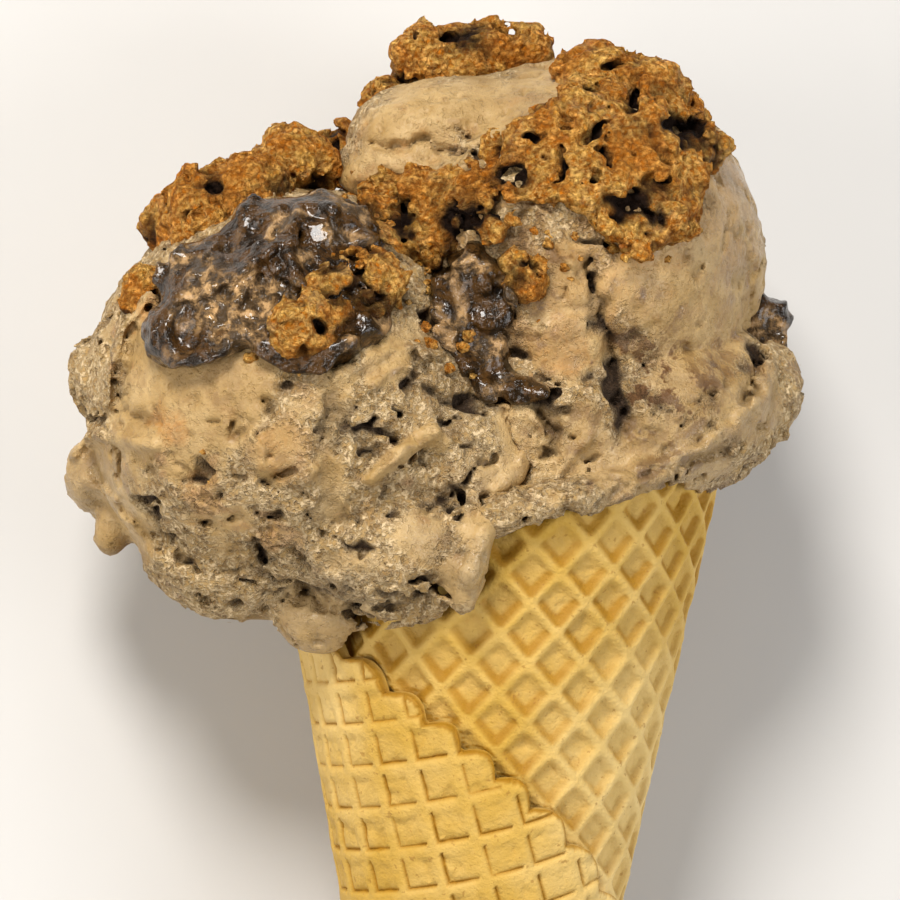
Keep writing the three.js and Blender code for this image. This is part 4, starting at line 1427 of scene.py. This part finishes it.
def build_cake(name, step, material, seed):
    lumps = lumps_of(CAKES[name], 1.0)
    clay = topping_clay(name, lumps, CAKE_BLEND, step)
    clay.raise_by(lambda points: 0.8 * noise(points, 4.5, seed) - hollows(points), 4.5)
    clay.raise_by(lambda points: cake_crumb(points, seed), 2.8)
    clay.cut(deep_in_cream, floor_field)
    points, faces = clay.mesh(TOPPING_MERGING)
    places = points.astype(np.float32)
    # How deep the surface lies below the topping's smooth shape, which the material paints dark as shade in
    # pores and hollows
    pore_shade_depth = smooth_step(0.1, 1.7, -topping_field(places, name, lumps, CAKE_BLEND))
    attributes = {"low": pore_shade_depth, "syrup": syrup_share(places, seed + 9)}
    return mesh_object(name + "_crumb", points, faces, attributes, material)


def fudge_swirl(points, seed):
    """Folds of thick sauce."""
    ragged = wandering(points, 3.0, 0.8, seed + 30)
    swirl = 1.1 * (0.4 - np.abs(noise(ragged, 4.2, seed))) + 0.45 * noise(ragged, 1.9, seed + 1)
    return swirl + strokes_height(points, FUDGE_STROKES, [], 5.0)


def foam_share(points, seed):
    """Where ice cream is stirred into the sauce: in a pool, and in streaks."""
    places = seen(points)
    x, y, wide, high = FOAM_POOL
    out = np.hypot((places[:, 0] - x) / wide, (places[:, 1] - y) / high)
    pool = 1 - smooth_step(0.65, 1.15, out + 0.25 * noise(points, 2, seed))
    streaks = 0.8 * smooth_step(0.3, 0.9, noise(wandering(points, 3, 1.0, seed + 3), 3.4, seed + 7))
    return np.maximum(pool, streaks)


def unseen(places, level):
    """Points at a level in front of the cone's middle from their places as seen from the front."""
    near = VIEW_DISTANCE / (VIEW_DISTANCE - level)
    x = VIEW_AT[0] + (places[:, 0] - VIEW_AT[0]) / near
    y = VIEW_AT[1] + (places[:, 1] - VIEW_AT[1]) / near
    return np.stack([x, y, np.broadcast_to(level, len(x))], 1)


def crumb_places():
    """Where small crumbs lie on the front, with their sizes."""
    draw = np.random.default_rng(CRUMB_SEED)
    spots = []
    for x, y, spread, count in CRUMB_ZONES:
        for _ in range(count):
            spots.append((x + draw.normal() * spread, y + draw.normal() * spread, draw.uniform(*CRUMB_SIZES)))
    spots = np.array(spots)
    height = np.full(len(spots), 60.0)
    found = np.zeros(len(spots), bool)
    for level in np.arange(60.0, -5.0, -0.4):
        points = unseen(spots, level).astype(np.float32)
        field = cream_field(points)
        for name in LAYERS:
            field = np.minimum(field, layer_field(points, name))
        hit = (field < 0) & ~found
        height[hit] = level
        found |= hit
    return unseen(spots, height)[found], spots[found, 2]


def build_crumbs(material):
    """Small crumbs of the cake, scattered on the sauce and the ice cream, as one piece."""
    ball = bmesh.new()
    bmesh.ops.create_icosphere(ball, subdivisions=3, radius=1.0)
    ways = np.array([tuple(v.co) for v in ball.verts], np.float32)
    corners = np.array([[v.index for v in face.verts] for face in ball.faces])
    ball.free()
    points, faces = [], []
    for k, (place, size) in enumerate(zip(*crumb_places())):
        apart = ways + 5 * k
        lumpy = 1 + 0.35 * noise(apart, 0.8, CRUMB_SEED + 1) + 0.2 * noise(apart, 0.4, CRUMB_SEED + 2)
        flat = np.array([1.0, 0.85, 0.7]) * size
        faces.append(corners + len(ways) * k)
        points.append(place + ways * lumpy[:, None] * flat)
    points = np.concatenate(points)
    none = np.zeros(len(points))
    attributes = {"low": none, "syrup": none}
    return mesh_object("loose_crumbs", points, [np.concatenate(faces)], attributes, material)


def foam_bubbles(points, seed):
    return 0.7 * (foam_share(points, seed) * (0.5 - grains(points, 1.5, seed + 5)))


def build_fudge(name, step, material, seed):
    lumps = lumps_of(FUDGES[name], SAUCE_FLATNESS)
    clay = topping_clay(name, lumps, SAUCE_BLEND, step)
    clay.raise_by(lambda points: fudge_swirl(points, seed), 4.5)
    clay.raise_by(lambda points: foam_bubbles(points, seed), 1.5)
    clay.cut(deep_in_cream, floor_field)
    points, faces = clay.mesh(TOPPING_MERGING)
    attributes = {"foam": foam_share(points.astype(np.float32), seed)}
    return mesh_object(name + "_sauce", points, faces, attributes, material)


# Operators and panel


def length_property(name, description, default, low, high):
    return FloatProperty(
        name=name, description=description, unit="LENGTH", default=default, min=low, max=high
    )


def colour_property(name, description, *shades):
    default = linear(*shades)
    return FloatVectorProperty(
        name=name, description=description, subtype="COLOR", size=3, min=0, max=1, default=default
    )


class ConeSettings(bpy.types.PropertyGroup):
    """Colours and sizes that someone may want to change."""

    rib_height: length_property("Rib height", "Height of the wafer's ribs", 0.0009, 0.0002, 0.0014)
    cream_step: length_property("Cream detail", "Smallest detail of the ice cream", 0.00048, 0.0003, 0.002)
    cake_step: length_property("Cake detail", "Smallest detail of the cake", 0.0004, 0.0003, 0.002)
    cream_colour: colour_property("Ice cream", "Main colour of the ice cream", 166, 134, 82)
    cream_light: colour_property("Light ice cream", "Lightest streaks of the ice cream", 204, 174, 124)
    # Colour of the painted shade deep in the ice cream's pits
    cream_pit_shade: colour_property("Dark ice cream", "Ice cream deep in pits", 50, 32, 10)
    fudge_colour: colour_property("Fudge", "Colour of the sauce", 30, 19, 7)
    cake_colour: colour_property("Cake", "Main colour of the cake", 224, 134, 22)
    cake_light: colour_property("Light cake", "Lightest crumbs", 253, 190, 84)
    # Colour of the painted shade deep in the cake's pores
    cake_pore_shade: colour_property("Dark cake", "Cake deep in its pores", 32, 16, 4)
    wafer_colour: colour_property("Wafer", "Main colour of the wafer", 192, 152, 62)
    # Lightest wafer, also the colour of the painted light low on the right
    wafer_pale_and_painted_light: colour_property("Light wafer", "Palest parts of the wafer", 224, 194, 128)
    # Colour of the browned walls, also of the painted shade in the creases and along the seam
    wafer_brown_and_shade: colour_property("Browned wafer", "Browned cell walls", 152, 106, 6)


class CONE_OT_wafer(bpy.types.Operator):
    """Roll the waffle cone"""

    bl_idname = "ice_cream_cone.wafer"
    bl_label = "Build wafer"

    def execute(self, context):
        props = context.scene.cone_settings
        material = wafer_material(props)
        rib_height = props.rib_height / MM
        mounted(build_roll(material, rib_height), ["cone"])
        mounted(build_tip(material, rib_height), ["cone"])
        return {"FINISHED"}


class CONE_OT_scoops(bpy.types.Operator):
    """Press both scoops of ice cream"""

    bl_idname = "ice_cream_cone.scoops"
    bl_label = "Build scoops"

    def execute(self, context):
        props = context.scene.cone_settings
        material = cream_material(props)
        step = props.cream_step / MM
        build_cream("left", [], step, material)
        build_cream("right", [left_with_gap], step, material)
        return {"FINISHED"}


class CONE_OT_fudge(bpy.types.Operator):
    """Pour the fudge sauce"""

    bl_idname = "ice_cream_cone.fudge"
    bl_label = "Build fudge"

    def execute(self, context):
        props = context.scene.cone_settings
        material = fudge_material(props)
        for k, name in enumerate(FUDGES):
            mounted(build_fudge(name, props.cake_step / MM, material, FUDGE_SEED + 10 * k), [name])
        return {"FINISHED"}


class CONE_OT_cake(bpy.types.Operator):
    """Press on the pieces of cake"""

    bl_idname = "ice_cream_cone.cake"
    bl_label = "Build cake"

    def execute(self, context):
        props = context.scene.cone_settings
        material = cake_material(props)
        for k, name in enumerate(CAKES):
            mounted(build_cake(name, props.cake_step / MM, material, CAKE_SEED + 10 * k), [name])
        mounted(build_crumbs(material), [])
        return {"FINISHED"}


class CONE_OT_stage(bpy.types.Operator):
    """Set the floor, the lights and the camera"""

    bl_idname = "ice_cream_cone.stage"
    bl_label = "Build stage"

    def execute(self, context):
        build_floor()
        build_lights()
        build_camera()
        return {"FINISHED"}


def build_floor():
    half = FLOOR_HALF
    corners = [(-half, -half, 0), (half, -half, 0), (half, half, 0), (-half, half, 0)]
    floor = bare_object("floor", corners, [[0, 1, 2, 3]])
    floor.data.materials.append(floor_material())


def build_lights():
    for name, place, size, power, colour in LIGHTS:
        light = bpy.data.lights.new(name, "AREA")
        light.shape = "DISK"
        light.size = size
        light.energy = power
        light.color = colour
        lamp = bpy.data.objects.new(name, light)
        lamp.location = place
        lamp.rotation_euler = (Vector(LIT_PLACE) - Vector(place)).to_track_quat("-Z", "Y").to_euler()
        bpy.context.scene.collection.objects.link(lamp)
    world = bpy.data.worlds.new("studio")
    world.use_nodes = True
    background = world.node_tree.nodes["Background"]
    background.inputs["Color"].default_value = WORLD_COLOUR
    background.inputs["Strength"].default_value = WORLD_STRENGTH
    bpy.context.scene.world = world


def build_camera():
    camera = bpy.data.cameras.new("camera")
    camera.sensor_width = SENSOR_MM
    camera.lens = SENSOR_MM * VIEW_DISTANCE / VIEW_WIDTH
    camera.dof.use_dof = False
    holder = bpy.data.objects.new("camera", camera)
    placed = POSE @ Matrix.Translation((*VIEW_AT, VIEW_DISTANCE)) @ Matrix.Rotation(VIEW_LEAN, 4, "Z")
    placed.translation *= MM
    holder.matrix_world = placed
    bpy.context.scene.collection.objects.link(holder)
    bpy.context.scene.camera = holder
    bpy.context.scene.view_settings.view_transform = "Standard"


class CONE_PT_panel(bpy.types.Panel):
    """Settings and the steps that build the cone"""

    bl_label = "Ice cream cone"
    bl_idname = "CONE_PT_panel"
    bl_space_type = "VIEW_3D"
    bl_region_type = "UI"
    bl_category = "Ice cream cone"

    def draw(self, context):
        settings = context.scene.cone_settings
        for label in ConeSettings.__annotations__:
            self.layout.prop(settings, label)
        for step in STEPS:
            self.layout.operator(step.bl_idname)


STEPS = (CONE_OT_wafer, CONE_OT_scoops, CONE_OT_fudge, CONE_OT_cake, CONE_OT_stage)


def register():
    bpy.utils.register_class(ConeSettings)
    bpy.types.Scene.cone_settings = PointerProperty(type=ConeSettings)
    for made in (*STEPS, CONE_PT_panel):
        bpy.utils.register_class(made)


def unregister():
    for made in reversed((*STEPS, CONE_PT_panel)):
        bpy.utils.unregister_class(made)
    del bpy.types.Scene.cone_settings
    bpy.utils.unregister_class(ConeSettings)


def main():
    register()
    bpy.ops.ice_cream_cone.wafer()
    bpy.ops.ice_cream_cone.scoops()
    bpy.ops.ice_cream_cone.fudge()
    bpy.ops.ice_cream_cone.cake()
    bpy.ops.ice_cream_cone.stage()


if __name__ == "__main__":
    main()
